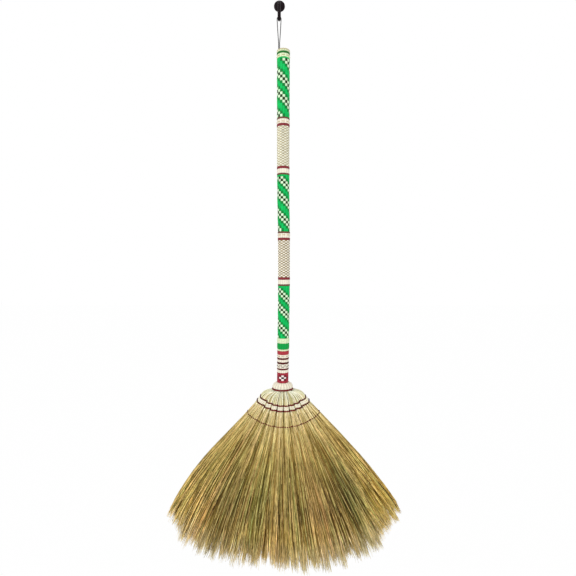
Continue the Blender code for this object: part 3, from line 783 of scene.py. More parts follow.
@dataclass(frozen=True)
class Fan:
    """The fan of straw: lines that run out from a centre.

    A line's spread is how far out it lies: -1 at the left edge, 0 in the middle and 1 at the right edge. Its
    angle from straight down is its spread times the edge's angle, which changes with the reach, the distance
    from the centre.
    """

    x: float
    y: float
    ring_foot: float
    centre_rise: float = 0.0385
    hanks: int = 8
    outer_share: float = 1.35
    upper_stitch: float = 0.0675
    lower_stitch: float = 0.0780
    seam: float = 0.1070
    tip_reaches: tuple[float, ...] = (0.391, 0.391, 0.387, 0.381, 0.390, 0.395, 0.395, 0.388)
    left_edge: Curve = Curve((0.0675, 0.0780, 0.1070, 0.1550, 0.2200, 0.2600, 0.3300, 0.3850),
                             (40.0, 39.9, 40.4, 41.2, 41.8, 41.4, 39.8, 38.2))
    right_edge: Curve = Curve((0.0675, 0.0780, 0.1070, 0.1550, 0.2200, 0.2600, 0.3300, 0.3850),
                              (38.6, 39.1, 40.4, 41.3, 41.4, 41.3, 40.8, 40.0))
    thickness: Curve = Curve((0.0385, 0.0675, 0.0780, 0.1070, 0.3760),
                             (0.0155, 0.0122, 0.0122, 0.0125, 0.0210))
    edge_depth_share: float = 0.55
    groove_share: float = 0.16
    crown_share: float = 0.07
    crown_power: float = 0.6
    mouth_half_width: float = 0.0150
    mouth_half_depth: float = 0.0145
    mouth_flatness: float = 0.6
    mouth_hidden: float = 0.0035
    mouth_edge_drop: float = 0.0052
    mouth_turn: float = 2.15
    mouth_hold: float = 0.46
    stitch_turn: float = 0.72
    stitch_hold: float = 0.40
    turn_count: int = 24

    @classmethod
    def from_frame(cls, handle: Handle) -> "Fan":
        """Place the fan under the collar's ring."""
        return cls(handle.x, handle.y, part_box("collar_cord_ring")[0].z)

    def angle(self, reach: Array | float, spread: Array | float) -> Array:
        """The angle from straight down of a line of some spread at a reach."""
        degrees = np.where(np.asarray(spread) > 0, self.right_edge.at(reach), self.left_edge.at(reach))
        return np.radians(degrees) * spread

    def point(self, reach: Array, spread: Array, depth: Array, aside: Array | float = 0.0) -> Array:
        """The point at a reach, a spread and a depth along Y, moved aside by a distance across its line."""
        reach, spread, depth, aside = np.broadcast_arrays(reach, spread, depth, aside)
        angle = self.angle(reach, spread) + aside / np.maximum(reach, GAP)
        drop = self.ring_foot + self.centre_rise - reach * np.cos(angle)
        return np.stack([self.x + reach * np.sin(angle), self.y + depth, drop], axis=-1)

    def bounds(self) -> Array:
        """The spreads between the hanks, from edge to edge: the outer hanks are wider."""
        half = self.hanks // 2
        steps = np.arange(-half, half + 1, dtype=float)
        steps[[0, -1]] += np.array([-1, 1]) * (self.outer_share - 1)
        return steps / (half - 1 + self.outer_share)

    def share_in_hank(self, spread: Array) -> Array:
        """How far across its own hank a line lies, from 0 to 1."""
        edges = self.bounds()
        number = np.clip(np.searchsorted(edges, spread, side="right") - 1, 0, self.hanks - 1)
        return np.clip((spread - edges[number]) / (edges[number + 1] - edges[number]), 0, 1)

    def crown(self, spread: Array) -> Array:
        """How far each hank swells, as a share of the depth: least between two hanks."""
        swell = np.sin(pi * self.share_in_hank(spread)) ** self.crown_power
        return 1 - self.groove_share + (self.groove_share + self.crown_share) * swell

    def half_depth(self, reach: Array, spread: Array) -> Array:
        """Half the fan's thickness before its hanks swell: drawn in at the stitches, thin at the edges."""
        edge = np.sqrt(1 - (1 - self.edge_depth_share ** 2) * np.minimum(1, spread ** 2))
        return self.thickness.at(reach) * edge

    def surface(self, reach: Array | float, spread: Array) -> Array:
        """Half the fan's thickness with its hanks' swell."""
        return self.half_depth(reach, spread) * self.crown(spread)

    def shoulder(self, spread: Array, depth_share: Array, steps: int) -> Array:
        """Lines of stalks that leave the collar's mouth and bend over to the upper stitch.

        In the fan's plane each is a cubic Bezier curve. It starts at the mouth at the spread's share of its
        half width, lower towards the edges, heads out at mouth_turn times its angle at the stitch, and comes
        in to the stitch at stitch_turn times that angle. Each hold is the length of that end's handle as a
        share of the distance between the ends. The depth runs evenly from the mouth's to the stitch's.

        Args:
            spread: Each line's spread.
            depth_share: Each line's depth, from -1 in front to 1 behind.
            steps: Points along a line.

        Returns:
            Points, lines by steps by 3.
        """
        end_reach = self.upper_stitch
        angle = self.angle(end_reach, spread)
        top = self.mouth_hidden - self.mouth_edge_drop * spread ** 2 - self.centre_rise
        start = np.stack([self.mouth_half_width * spread, top], axis=-1)
        end = end_reach * np.stack([np.sin(angle), -np.cos(angle)], axis=-1)
        span = np.linalg.norm(end - start, axis=-1, keepdims=True)
        out, into = angle * self.mouth_turn, angle * self.stitch_turn
        second = start + self.mouth_hold * span * np.stack([np.sin(out), -np.cos(out)], axis=-1)
        third = end - self.stitch_hold * span * np.stack([np.sin(into), -np.cos(into)], axis=-1)
        t = np.linspace(0, 1, steps)[None, :, None]
        flat = ((1 - t) ** 3 * start[:, None] + 3 * (1 - t) ** 2 * t * second[:, None]
                + 3 * (1 - t) * t ** 2 * third[:, None] + t ** 3 * end[:, None])
        mouth = self.mouth_half_depth * np.sqrt(1 - self.mouth_flatness * spread ** 2)
        stitch = self.surface(end_reach, spread)
        depth = depth_share[:, None] * (mouth[:, None] + (stitch - mouth)[:, None] * t[..., 0])
        height = self.ring_foot + self.centre_rise + flat[..., 1]
        return np.stack([self.x + flat[..., 0], self.y + depth, height], axis=-1)

    def loop_spread(self, count: int) -> Array:
        """The spread at each point of a loop: along the front, round the right edge, back, round the left."""
        front = np.linspace(-1, 1, count)
        right = np.ones(self.turn_count)
        return np.concatenate([front, right, front[::-1], -right])

    def loop(self, reach: Array | float, stand_off: Array | float, count: int) -> Array:
        """A closed line round the head, along the hanks' crowns and round both edges.

        Args:
            reach: Distance from the fan's centre, one value or one for each point.
            stand_off: Distance from the hanks' surface, one value or one for each point.
            count: Points along the front, and as many along the back.

        Returns:
            Points, to the right along the front first.
        """
        turn = pi * (np.arange(self.turn_count) + 0.5) / self.turn_count
        spread = self.loop_spread(count)
        facing = np.concatenate([np.zeros(count), turn, np.full(count, pi), pi + turn])
        depth = self.surface(reach, spread)
        out = np.broadcast_to(stand_off, spread.shape)
        return self.point(reach, spread, -(depth + out) * np.cos(facing), out * np.sin(facing))

    def outward(self, count: int) -> Array:
        """The direction away from the fan's centre at each point of a loop."""
        flat = self.loop(self.seam, 0.0, count) - self.point(0.0, 0.0, 0.0)
        flat[:, 1] = 0
        return unit(flat)


@dataclass
class Studio:
    """The camera, the soft light and the pale floor.

    The camera stands level with the middle of the handle's lower half. Its shift keeps the picture's frame,
    whose horizon lies above the picture's middle.
    """

    camera_place: Triple = (0.0171, -0.7920, -0.5135)
    sensor: float = 36.0
    focal_pixels: float = 395.0
    picture_pixels: float = 576.0
    horizon_row: float = 263.3
    floor_z: float = -1.55
    floor_half: float = 9.0
    world_strength: float = 0.74
    aim: Triple = (0.0, 0.0, -0.62)
    key_place: Triple = (-1.3, -1.9, 0.9)
    key_power: float = 24.0
    fill_place: Triple = (1.6, -1.6, -0.2)
    fill_power: float = 5.0
    lamp_size: float = 1.4
    floor_light: float = 0.92
    floor_glow: float = 0.985

    def build(self) -> None:
        """Make the camera, the lamps, the world and the floor."""
        self._camera()
        self._lamp("key_light", self.key_place, self.key_power)
        self._lamp("fill_light", self.fill_place, self.fill_power)
        self._world()
        self._floor()
        bpy.context.scene.view_settings.view_transform = "Standard"

    def _camera(self) -> None:
        """A level camera that looks along +Y."""
        lens = bpy.data.cameras.new("camera")
        lens.sensor_width = self.sensor
        lens.lens = self.sensor * self.focal_pixels / self.picture_pixels
        lens.shift_y = (self.horizon_row - self.picture_pixels / 2) / self.picture_pixels
        lens.clip_start = 0.01
        camera = bpy.data.objects.new("camera", lens)
        camera.location = self.camera_place
        camera.rotation_euler = (pi / 2, 0, 0)
        bpy.context.scene.collection.objects.link(camera)
        bpy.context.scene.camera = camera

    def _lamp(self, name: str, place: Sequence[float], power: float) -> None:
        """A square soft light that faces the middle of the broom."""
        light = bpy.data.lights.new(name, "AREA")
        light.size = self.lamp_size
        light.energy = power
        lamp = bpy.data.objects.new(name, light)
        lamp.location = place
        aim = np.array(self.aim) - np.array(place)
        flat = sqrt(aim[0] ** 2 + aim[1] ** 2)
        lamp.rotation_euler = (pi / 2 + np.arctan2(aim[2], flat), 0, np.arctan2(-aim[0], aim[1]))
        bpy.context.scene.collection.objects.link(lamp)

    def _world(self) -> None:
        """Even white light, and plain white wherever the camera, gloss or glass sees past the floor."""
        world = bpy.data.worlds.new("studio")
        tree = Tree(world)
        white = (1.0, 1.0, 1.0, 1.0)
        soft = tree.node("ShaderNodeBackground", None, {"Color": white, "Strength": self.world_strength})
        plain = tree.node("ShaderNodeBackground", None, {"Color": white})
        mix = tree.node("ShaderNodeMixShader", None, {0: self._seen(tree), 1: soft, 2: plain})
        tree.feed(tree.tree.nodes["World Output"].inputs["Surface"], mix)
        bpy.context.scene.world = world

    def _seen(self, tree: Tree) -> Wire:
        """One for camera, gloss and glass rays, and nothing for the rays that light the broom."""
        total = tree.node("ShaderNodeLightPath", output="Is Camera Ray")
        for name in ("Is Glossy Ray", "Is Transmission Ray"):
            ray = tree.node("ShaderNodeLightPath", output=name)
            total = tree.node("ShaderNodeMath", {"operation": "ADD", "use_clamp": True}, {0: total, 1: ray})
        return total

    def _floor(self) -> None:
        """A pale floor far below, which shows as white and still takes a faint shadow."""
        size = self.floor_half
        mesh = bpy.data.meshes.new("floor")
        mesh.from_pydata([(-size, -size, self.floor_z), (size, -size, self.floor_z),
                          (size, size, self.floor_z), (-size, size, self.floor_z)], [], [(0, 1, 2, 3)])
        floor = bpy.data.objects.new("floor", mesh)
        bpy.context.scene.collection.objects.link(floor)
        shading = Shading("floor_finish")
        material = shading.finish(Base_Color=(*(self.floor_light,) * 3, 1.0), Roughness=0.9)
        matt = Wire(shading, shading.shader.outputs[0])
        glow = shading.node("ShaderNodeEmission")
        mix = shading.node("ShaderNodeMixShader", None,
                           {0: self._seen(shading) * self.floor_glow, 1: matt, 2: glow})
        shading.feed(shading.tree.nodes["Material Output"].inputs["Surface"], mix)
        mesh.materials.append(material)


@dataclass
class WallHook:
    """A round domed plate on the wall and a bent rod with a round end."""

    plate_radius: float = 0.0110
    plate_edge: float = 0.0018
    dome_rise: float = 0.0005
    back_edge: float = 0.0002
    back_share: float = 0.98
    axis_share: float = 0.02
    rod_radius: float = 0.0028
    reach: float = 0.0320
    drop: float = 0.0432
    saddle_bend: float = 0.0090
    neck_bend: float = 0.0120
    tip_rise: float = 0.0120
    neck_swell: float = 1.16
    neck_points: tuple[int, int] = (27, 35)
    sides: int = 64
    rod_sides: int = 24

    def build(self) -> None:
        """Make the plate and the rod, and dress the pad."""
        place_piece("domed_plate", [self._plate()], BLACK, HOOK, "hook_plate")
        place_piece("bent_rod", [self._rod()], BLACK, HOOK, "hook_rod")
        foam = PlainFinish("pad_foam_finish", paint(96, 96, 96), paint(52, 52, 53), (3000.0,) * 3, 0.85)
        dress_node("hook_pad", foam)

    def _plate(self) -> Patch:
        """A profile turned round Y: a flat back, a short edge, a round shoulder and a slow dome."""
        low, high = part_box("hook_plate")
        back, face = -high.y, -low.y
        bend = face - back - self.plate_edge
        angles = np.linspace(0, pi / 2, 9)
        shares = np.linspace(self.axis_share, 1, 9)
        flat = self.plate_radius - bend
        dome_radii, dome_heights = flat * shares, face + self.dome_rise * (1 - shares ** 2)
        edge_radii, edge_heights = flat + bend * np.sin(angles[1:]), face - bend * (1 - np.cos(angles[1:]))
        back_radii = [self.plate_radius, self.plate_radius * self.back_share, flat * self.axis_share]
        radii = np.concatenate([dome_radii, edge_radii, back_radii])
        heights = np.concatenate([dome_heights, edge_heights, [back + self.back_edge, back, back]])
        points = turned(np.repeat(radii[None], self.sides, axis=0), heights)
        points = np.stack([points[..., 0], -points[..., 2], points[..., 1]], axis=-1)
        return grid_patch(points, np.ones(3), closed_rows=True)

    def route(self) -> Array:
        """The rod's middle line: out of the plate, down a bend, round the saddle and up to the tip."""
        rear = -self.reach + self.saddle_bend
        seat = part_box("hook_rod")[1].y
        turn_height = -self.drop + self.saddle_bend
        neck = np.linspace(pi / 2, pi, 16)
        saddle = np.linspace(0, -pi, 40)
        centre = rear + self.neck_bend
        out = np.linspace(seat, centre, 6, endpoint=False)
        tip = np.linspace(0, self.tip_rise, 8)[1:]
        y = np.concatenate([out, centre + self.neck_bend * np.cos(neck),
                            -self.reach + self.saddle_bend * np.cos(saddle),
                            np.full(len(tip), -self.reach - self.saddle_bend)])
        z = np.concatenate([np.zeros(len(out)), -self.neck_bend + self.neck_bend * np.sin(neck),
                            turn_height + self.saddle_bend * np.sin(saddle), turn_height + tip])
        points = np.stack([np.zeros(len(y)), y, z], axis=-1)
        return points[np.concatenate([[True], np.linalg.norm(np.diff(points, axis=0), axis=1) > 1e-6])]

    def _rod(self) -> Patch:
        """The rod's tube, thicker down to the saddle's first bend, whose last rings close to a round end."""
        path = self.route()
        thick = np.interp(np.arange(len(path)), self.neck_points, [self.neck_swell, 1.0])
        angles = np.linspace(0, pi / 2 * 0.97, 9)[1:]
        cap = path[-1] + self.rod_radius * np.sin(angles)[:, None] * UP
        swell = np.concatenate([thick, np.cos(angles)]) * self.rod_radius
        section = circle(self.rod_sides)[None] * swell[:, None, None]
        return grid_patch(sweep(np.concatenate([path, cap]), section, RIGHT), np.ones(3))


@dataclass
class HangingLoop:
    """The cord loop over the hook, the knot that closes it and the tail in the stick."""

    cord_radius: float = 0.0008
    rod_radius: float = 0.0028
    drop: float = 0.0606
    join: float = 0.0142
    curve: float = 0.85
    knot_radius: float = 0.0018
    knot_shares: Triple = (0.44, 0.24, 0.494)
    knot_cord_share: float = 0.9
    twin_steps: int = 7
    leg_steps: int = 14
    crown_steps: int = 10
    finer: int = 6
    smoothings: int = 4
    twist: Twist = Twist(2, 0.0034, 10, 0.16)
    saddle: Triple = (0.0, -0.0320, -0.0432)

    def route(self) -> Array:
        """The cord's middle line, as the solid's: up from the knot, over the rod and down again.

        The legs run side by side to the join, part by a power of their length's share up to the rod's middle,
        and meet in a half circle over the rod.
        """
        x0, y0, z0 = self.saddle
        knot = z0 - self.drop
        over = self.rod_radius + GAP + self.cord_radius
        together = self.cord_radius + GAP / 2
        start = sqrt((self.knot_radius + GAP) ** 2 - together ** 2) + GAP
        twin = knot + start + (self.join - start) * np.arange(self.twin_steps) / self.twin_steps
        share = np.arange(self.leg_steps) / self.leg_steps
        leg = knot + self.join + (z0 - knot - self.join) * share
        turn = pi * np.arange(self.crown_steps + 1) / self.crown_steps
        parted = together + (over - together) * share ** self.curve
        side_x = np.concatenate([np.full(self.twin_steps, together), parted])
        side_z = np.concatenate([twin, leg])
        x = np.concatenate([side_x, over * np.cos(turn), -side_x[::-1]])
        z = np.concatenate([side_z, z0 + over * np.sin(turn), side_z[::-1]])
        return np.stack([x0 + x, np.full(len(x), y0), z], axis=-1)

    def build(self) -> None:
        route = self.route()
        steps = np.linspace(0, len(route) - 1, self.finer * len(route))
        path = np.stack([np.interp(steps, np.arange(len(route)), route[:, n]) for n in range(3)], axis=-1)
        for _ in range(self.smoothings):
            path[1:-1] = (path[:-2] + 2 * path[1:-1] + path[2:]) / 4
        patch = twisted_patch(path, self.cord_radius, BACK, self.twist)
        cord = place_piece("twisted_loop", [patch], DARK_CORD, LOOP, "hanging_cord", sharp=None)
        2 * self.cord_radius
        place_piece("tied_knot", [self._knot()], DARK_CORD, BROOM, "loop_knot", sharp=None)
        dress_node("cord_tail", PlainFinish("glued_tail_finish", paint(70, 66, 62), paint(40, 38, 36),
                                            (3000.0, 3000.0, 900.0), 0.8))

    def _knot(self) -> Patch:
        """A closed cord wound as a (2, 3) torus knot: twice round its middle, three times round its ring.

        Its shares of the knot's radius are the ring's radius, how far the cord goes in and out from it, and
        how far up and down.
        """
        t = round_turn(120)
        ring, swing, rise = np.array(self.knot_shares) * self.knot_radius
        radii = ring + swing * np.cos(3 * t)
        turns = np.stack([radii * np.cos(2 * t), radii * np.sin(2 * t), rise * np.sin(3 * t)], axis=-1)
        path = np.array(self.saddle) - self.drop * UP + turns
        return twisted_patch(path, self.cord_radius * self.knot_cord_share, UP, self.twist, True)


class Cell(Enum):
    """What shows in one cell of the weave."""

    UPRIGHT = 0
    ACROSS = 1
    SUNK = 2
    NOTCH = 3


class Pattern(Enum):
    """How a sleeve is woven."""

    SPIRAL = "pale checks wind round it"
    TABBY = "over one, under one"
    PLAIN = "upright strips only"
    CROSS = "a cross in every fourth column"


@dataclass
class Sleeve:
    """A woven band of the wrapping: upright strips, and what passes over them, cell by cell.

    Attributes:
        columns: Upright strips round the handle.
        rows: Rows of cells down the band.
        starts: For a spiral, the rows at which its dark cells cross the front.
        first_share: The first row's width as a share of the others'.
        last_share: The last row's.
        relief: How far the weave stands between its grooves and its crowns.
        groove_dark: How much its grooves are darkened as painted shade, as a share.
        bulge: How far the band swells at its middle.
        repeat: For a cross, how many columns apart it comes again.
        turned_share: How far the sleeve is turned, as a share of a column.
    """

    node: str
    pattern: Pattern
    columns: int
    rows: int
    tints: dict[Cell, Colour]
    finish: StripFinish
    starts: tuple[int, ...] = ()
    first_share: float = 1.0
    last_share: float = 1.0
    relief: float = 0.00050
    sunk_share: float = 0.9
    groove_dark: float = 0.35
    bulge: float = 0.0
    variation: float = 0.06
    repeat: int = 7
    turned_share: float = 0.0
    wall: float = 0.0015
    samples_round: int = 6
    samples_down: int = 6

    @classmethod
    def plain(cls, node: str, tint: Colour = CREAM_TINT, finish: StripFinish = CREAM,
              bulge: float = 0.0) -> "Sleeve":
        """A band of upright strips alone."""
        return cls(node, Pattern.PLAIN, 16, 1, {Cell.UPRIGHT: tint}, finish, bulge=bulge, relief=0.0003,
                   variation=0.03, samples_down=10)

    @staticmethod
    def eased(count: int) -> Array:
        """Places across a cell from -1 to 1, closer together near its edges."""
        return np.sin(np.linspace(-pi / 2, pi / 2, count + 1))

    def on_quads(self, cells: Array) -> Array:
        """A value for each cell, repeated for each of its quads."""
        return cells.repeat(self.samples_down, axis=0).repeat(self.samples_round, axis=1)

    def cells(self) -> Array:
        """The kind of each cell, rows by columns; column 0 is at the front."""
        row, column = np.meshgrid(np.arange(self.rows), np.arange(self.columns), indexing="ij")
        if self.pattern is Pattern.TABBY:
            return np.where((row + column) % 2 == 0, Cell.ACROSS.value, Cell.SUNK.value)
        kinds = np.full(row.shape, Cell.UPRIGHT.value)
        if self.pattern is Pattern.SPIRAL:
            centred = (column + self.columns // 2) % self.columns - self.columns // 2
            for start in self.starts:
                off = np.abs((row - start - centred + self.columns // 2) % self.columns - self.columns // 2)
                kinds[off == 2] = Cell.NOTCH.value
                kinds[off == 1] = Cell.ACROSS.value
                kinds[off == 0] = Cell.SUNK.value
            kinds[0] = Cell.UPRIGHT.value
        if self.pattern is Pattern.CROSS:
            far = (column + self.repeat // 2) % self.repeat - self.repeat // 2
            off = np.abs(row - self.rows // 2)
            away = np.abs(far) + off
            kinds[(away == 2) & (off < 2)] = Cell.NOTCH.value
            kinds[away == 1] = Cell.ACROSS.value
            kinds[away == 0] = Cell.SUNK.value
        return kinds

    def heights(self, kinds: Array) -> Array:
        """The relief of the weave on a grid, as a share from 0 in the grooves to about 1.

        In a cell, u runs across and v down, both from -1 to 1. An upright strip is 1 - 0.75 |u|^6 high, and
        dives where the cell above or below is of another kind. A strip that passes across is
        1.3 (1 - |v|^4) (1 - |u|^8) high. A sunk cell is 0.5 (1 - |u|^4) (1 - |v|^4), and a notch is
        0.8 (1 - |u|^6) (1 - |v|^6) with a pit in its middle. Where two cells meet, the lower height holds.
        """
        u = self.eased(self.samples_round)[None, None, None, :]
        v = self.eased(self.samples_down)[None, None, :, None]
        upright = kinds == Cell.UPRIGHT.value
        above = np.concatenate([upright[:1], upright[:-1]])[..., None, None]
        below = np.concatenate([upright[1:], upright[-1:]])[..., None, None]
        ends = 1 - np.where(v < 0, ~above, ~below) * np.abs(v) ** 6
        full = np.ones_like(ends)
        shapes = np.stack([
            (1 - 0.75 * np.abs(u) ** 6) * ends,
            1.3 * (1 - np.abs(v) ** 4) * (1 - np.abs(u) ** 8) * full,
            0.5 * (1 - np.abs(u) ** 4) * (1 - np.abs(v) ** 4) * full,
            (0.8 - 0.5 * np.exp(-4 * (u ** 2 + v ** 2))) * (1 - np.abs(u) ** 6) * (1 - np.abs(v) ** 6) * full,
        ])
        cells = np.take_along_axis(shapes, kinds[None, ..., None, None], axis=0)[0]
        down, across = self.samples_down, self.samples_round
        grid = cells[:, :, :-1, :-1].transpose(0, 2, 1, 3).reshape(-1, self.columns * across)
        feet = cells[:, :, -1, :-1].reshape(-1, self.columns * across)
        grid[down::down] = np.minimum(grid[down::down], feet[:-1])
        grid = np.concatenate([grid, feet[-1:]])
        sides = cells[:, :, :, -1].transpose(0, 2, 1)
        sides = np.concatenate([sides[:, :-1].reshape(-1, self.columns), sides[-1:, -1]])
        grid[:, ::across] = np.minimum(grid[:, ::across], np.roll(sides, 1, axis=1))
        return grid

    def build(self, handle: Handle) -> None:
        """Make the sleeve: its relief outside, a plain wall inside."""
        low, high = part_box(self.node)
        kinds = self.cells()
        relief = self.heights(kinds)
        widths = np.ones(self.rows)
        widths[-1] = self.last_share
        widths[0] = self.first_share
        widths /= widths.sum()
        local = (self.eased(self.samples_down)[:-1] + 1) / 2
        starts = np.cumsum(widths) - widths
        share = np.concatenate([(starts[:, None] + widths[:, None] * local).ravel(), [1.0]])
        height = high.z - (high.z - low.z) * share
        swell = self.bulge * np.sqrt(np.sin(pi * share))
        outer = handle.radius(height) + swell - self.relief * self.sunk_share
        radii = (outer[:, None] + self.relief * relief).T
        inner = np.broadcast_to(handle.radius(height[[-1, 0]]) - self.wall, (len(radii), 2))
        radii = np.concatenate([radii, inner], axis=1)
        height = np.concatenate([height, height[[-1, 0]]])
        local_turn = (self.eased(self.samples_round)[:-1] + 1) / 2
        column = np.arange(self.columns)[:, None] + local_turn - 0.5 + self.turned_share
        turn = (column / self.columns).ravel() * TAU
        points = handle.stand(polar(radii, turn[:, None], height))
        patch = self._patch(points, kinds, relief, turn, height)
        place_piece("woven_" + self.node, [patch], self.finish, BROOM, self.node, sharp=radians(60))

    def _patch(self, points: Array, kinds: Array, relief: Array, turn: Array, height: Array) -> Patch:
        """Tint each cell, a little unlike its neighbours, and darken its grooves with painted shade.

        The fibres lie along each cell's own strip: down it, or across it where a strip passes over.
        """
        rng = np.random.default_rng(SEED)
        palette = np.array([self.tints.get(kind, (0, 0, 0)) for kind in Cell])
        shade = 1 + self.variation * rng.standard_normal(kinds.shape)
        shade *= 1 + 0.5 * self.variation * rng.standard_normal((1, self.columns))
        kind_map = self.on_quads(kinds)
        closed = np.concatenate([relief, relief[:, :1]], axis=1)
        rows_mean = (closed[:-1] + closed[1:]) / 2
        mean = (rows_mean[:, :-1] + rows_mean[:, 1:]) / 2
        # Painted shade: quads darken where the weave's relief is low, in its grooves.
        lit = self.on_quads(np.clip(shade, 0.75, 1.2)) * (1 - self.groove_dark * (1 - np.clip(mean, 0, 1)))
        tints = (palette[kind_map] * lit[..., None]).transpose(1, 0, 2)
        spare = points.shape[1] - tints.shape[1]
        tints = np.concatenate([tints, np.repeat(tints[:, -1:], spare, axis=1)], axis=1)
        kind_map = np.concatenate([kind_map.T, np.repeat(kind_map[-1:].T, spare, axis=1)], axis=1)
        rows, columns = points.shape[:2]
        around = np.concatenate([turn, [turn[0] + TAU]]) * float(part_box(self.node)[1].x)
        both = MILLIMETRES * np.stack(np.broadcast_arrays(height[None], around[:, None]), axis=-1)
        i, j = np.meshgrid(np.arange(rows), np.arange(columns), indexing="ij")
        side = (j + 1) % columns
        corners = np.stack([both[i, j], both[i, side], both[i + 1, side], both[i + 1, j]], axis=2)
        corners = np.where(kind_map[..., None, None] == Cell.ACROSS.value, corners[..., ::-1], corners)
        return Patch(points.reshape(-1, 3), lattice(rows, columns, True), tints.reshape(-1, 3), None,
                     corners.reshape(-1, 4, 2))


@dataclass
class WoundRing:
    """A flat cord wound round the handle a few times, with slanting ridges."""

    node: str
    tint: Colour
    turns: int = 1
    finish: StripFinish = RED
    wave: float = 0.0
    waves: int = 8
    proud: float = 0.0003
    ridge: float = 0.00035
    ridges: int = 56
    steps: int = 8
    sides: int = 336
    wall: float = 0.0012
    groove_light: float = 0.72
    inner_light: float = 0.7

    def build(self, handle: Handle) -> None:
        """Make the ring.

        Each turn's profile is an arc that drops by the ridge at its edges, and by a third of it between
        slanting ridges round it. The whole profile rises and falls where it waves.
        """
        low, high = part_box(self.node)
        profile = np.linspace(0, 1, self.turns * self.steps + 1)
        local = (profile * self.turns) % 1
        arc = np.sqrt(np.clip(1 - (2 * local - 1) ** 2, 0, 1))
        turn = round_turn(self.sides)[:, None]
        slant = np.abs(np.sin((self.ridges * turn - pi * profile * self.turns) / 2)) ** 0.7
        height = high.z - (high.z - low.z) * profile
        radii = handle.radius(height) + self.proud + self.ridge * (arc - 1) + self.ridge * (slant - 1) / 3
        inner = np.broadcast_to(handle.radius(height[[-1, 0]]) - self.wall, (self.sides, 2))
        radii = np.concatenate([radii, inner], axis=1)
        height = np.concatenate([height, height[[-1, 0]]]) + self.wave * np.cos(self.waves * turn)
        # Painted shade: darker at each turn's edges and between the slanting ridges; the inner wall is
        # painted darker still.
        light = self.groove_light + (1 - self.groove_light) * arc * slant
        light = np.concatenate([light, np.full((self.sides, 2), self.inner_light)], axis=1)
        tints = light[..., None] * np.array(self.tint)
        patch = grid_patch(handle.stand(turned(radii, height)), tints, True)
        place_piece("wound_" + self.node, [patch], self.finish, BROOM, self.node)


@dataclass
class Thread:
    """A fine thread woven over and under upright strips, as marks on a plain band.

    Attributes:
        rise: Its height above the band's middle.
        over: Which strips it passes over, counted in twos.
    """

    rise: float
    tint: Colour
    strips: int = 16
    over: int = 0
    radius: float = 0.00050
    swing: float = 1.1
    sink: float = 0.45
    steps: int = 12
    sides: int = 8

    def patch(self, handle: Handle, middle: float) -> Patch:
        """A closed tube whose distance from the handle follows the cosine of its strips."""
        turn = round_turn(self.strips * self.steps)
        height = middle + self.rise
        wave = self.swing * np.cos(self.strips / 2 * turn + pi * self.over)
        path = polar(handle.radius(height) + self.radius * (wave - self.sink), turn, height)
        section = circle(self.sides) * self.radius
        return grid_patch(sweep(handle.stand(path), section, UP, True), self.tint, True)


@dataclass
class EndRim:
    """The strips' ends, turned in over the stick's end: tan where they fold, paler below."""

    strips: int = 16
    fold_tint: Colour = paint(200, 186, 146)
    side_tint: Colour = paint(222, 234, 190)
    puff: float = 0.0005
    wall: float = 0.0021
    samples: int = 12

    def build(self, handle: Handle) -> None:
        """A profile that rolls over at its top, drawn in between the strips."""
        low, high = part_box("end_rim")
        roll = np.linspace(0, pi, 14)
        half, outer = self.wall / 2, handle.radius(high.z) + GAP
        inner, side = outer - self.wall, np.linspace(high.z - half, low.z, 9)[1:]
        radii = np.concatenate([outer - half - half * np.cos(roll), np.full(len(side), outer), [inner]])
        heights = np.concatenate([high.z - half + half * np.sin(roll), side, [low.z]])
        turn = round_turn(self.strips * self.samples)
        between = 1 - np.abs(np.cos(self.strips / 2 * turn)) ** 0.5
        lift = np.clip((heights - low.z) / (high.z - low.z), 0, 1)
        drawn = radii[None] - self.puff * between[:, None] * (radii > inner + GAP)[None]
        sunk = heights[None] - self.puff * 1.4 * between[:, None] * lift[None] ** 2
        # Painted shade: darker in the creases between the strips.
        shade = np.clip(1.04 - 0.4 * between, 0.4, 1.1)[:, None, None]
        folded = np.clip((lift - 0.45) / 0.2, 0, 1)[None, :, None]
        tints = shade * (np.array(self.side_tint) * (1 - folded) + np.array(self.fold_tint) * folded)
        patch = grid_patch(handle.stand(turned(drawn, sunk)), tints, True)
        place_piece("folded_rim", [patch], TAN, BROOM, "end_rim")


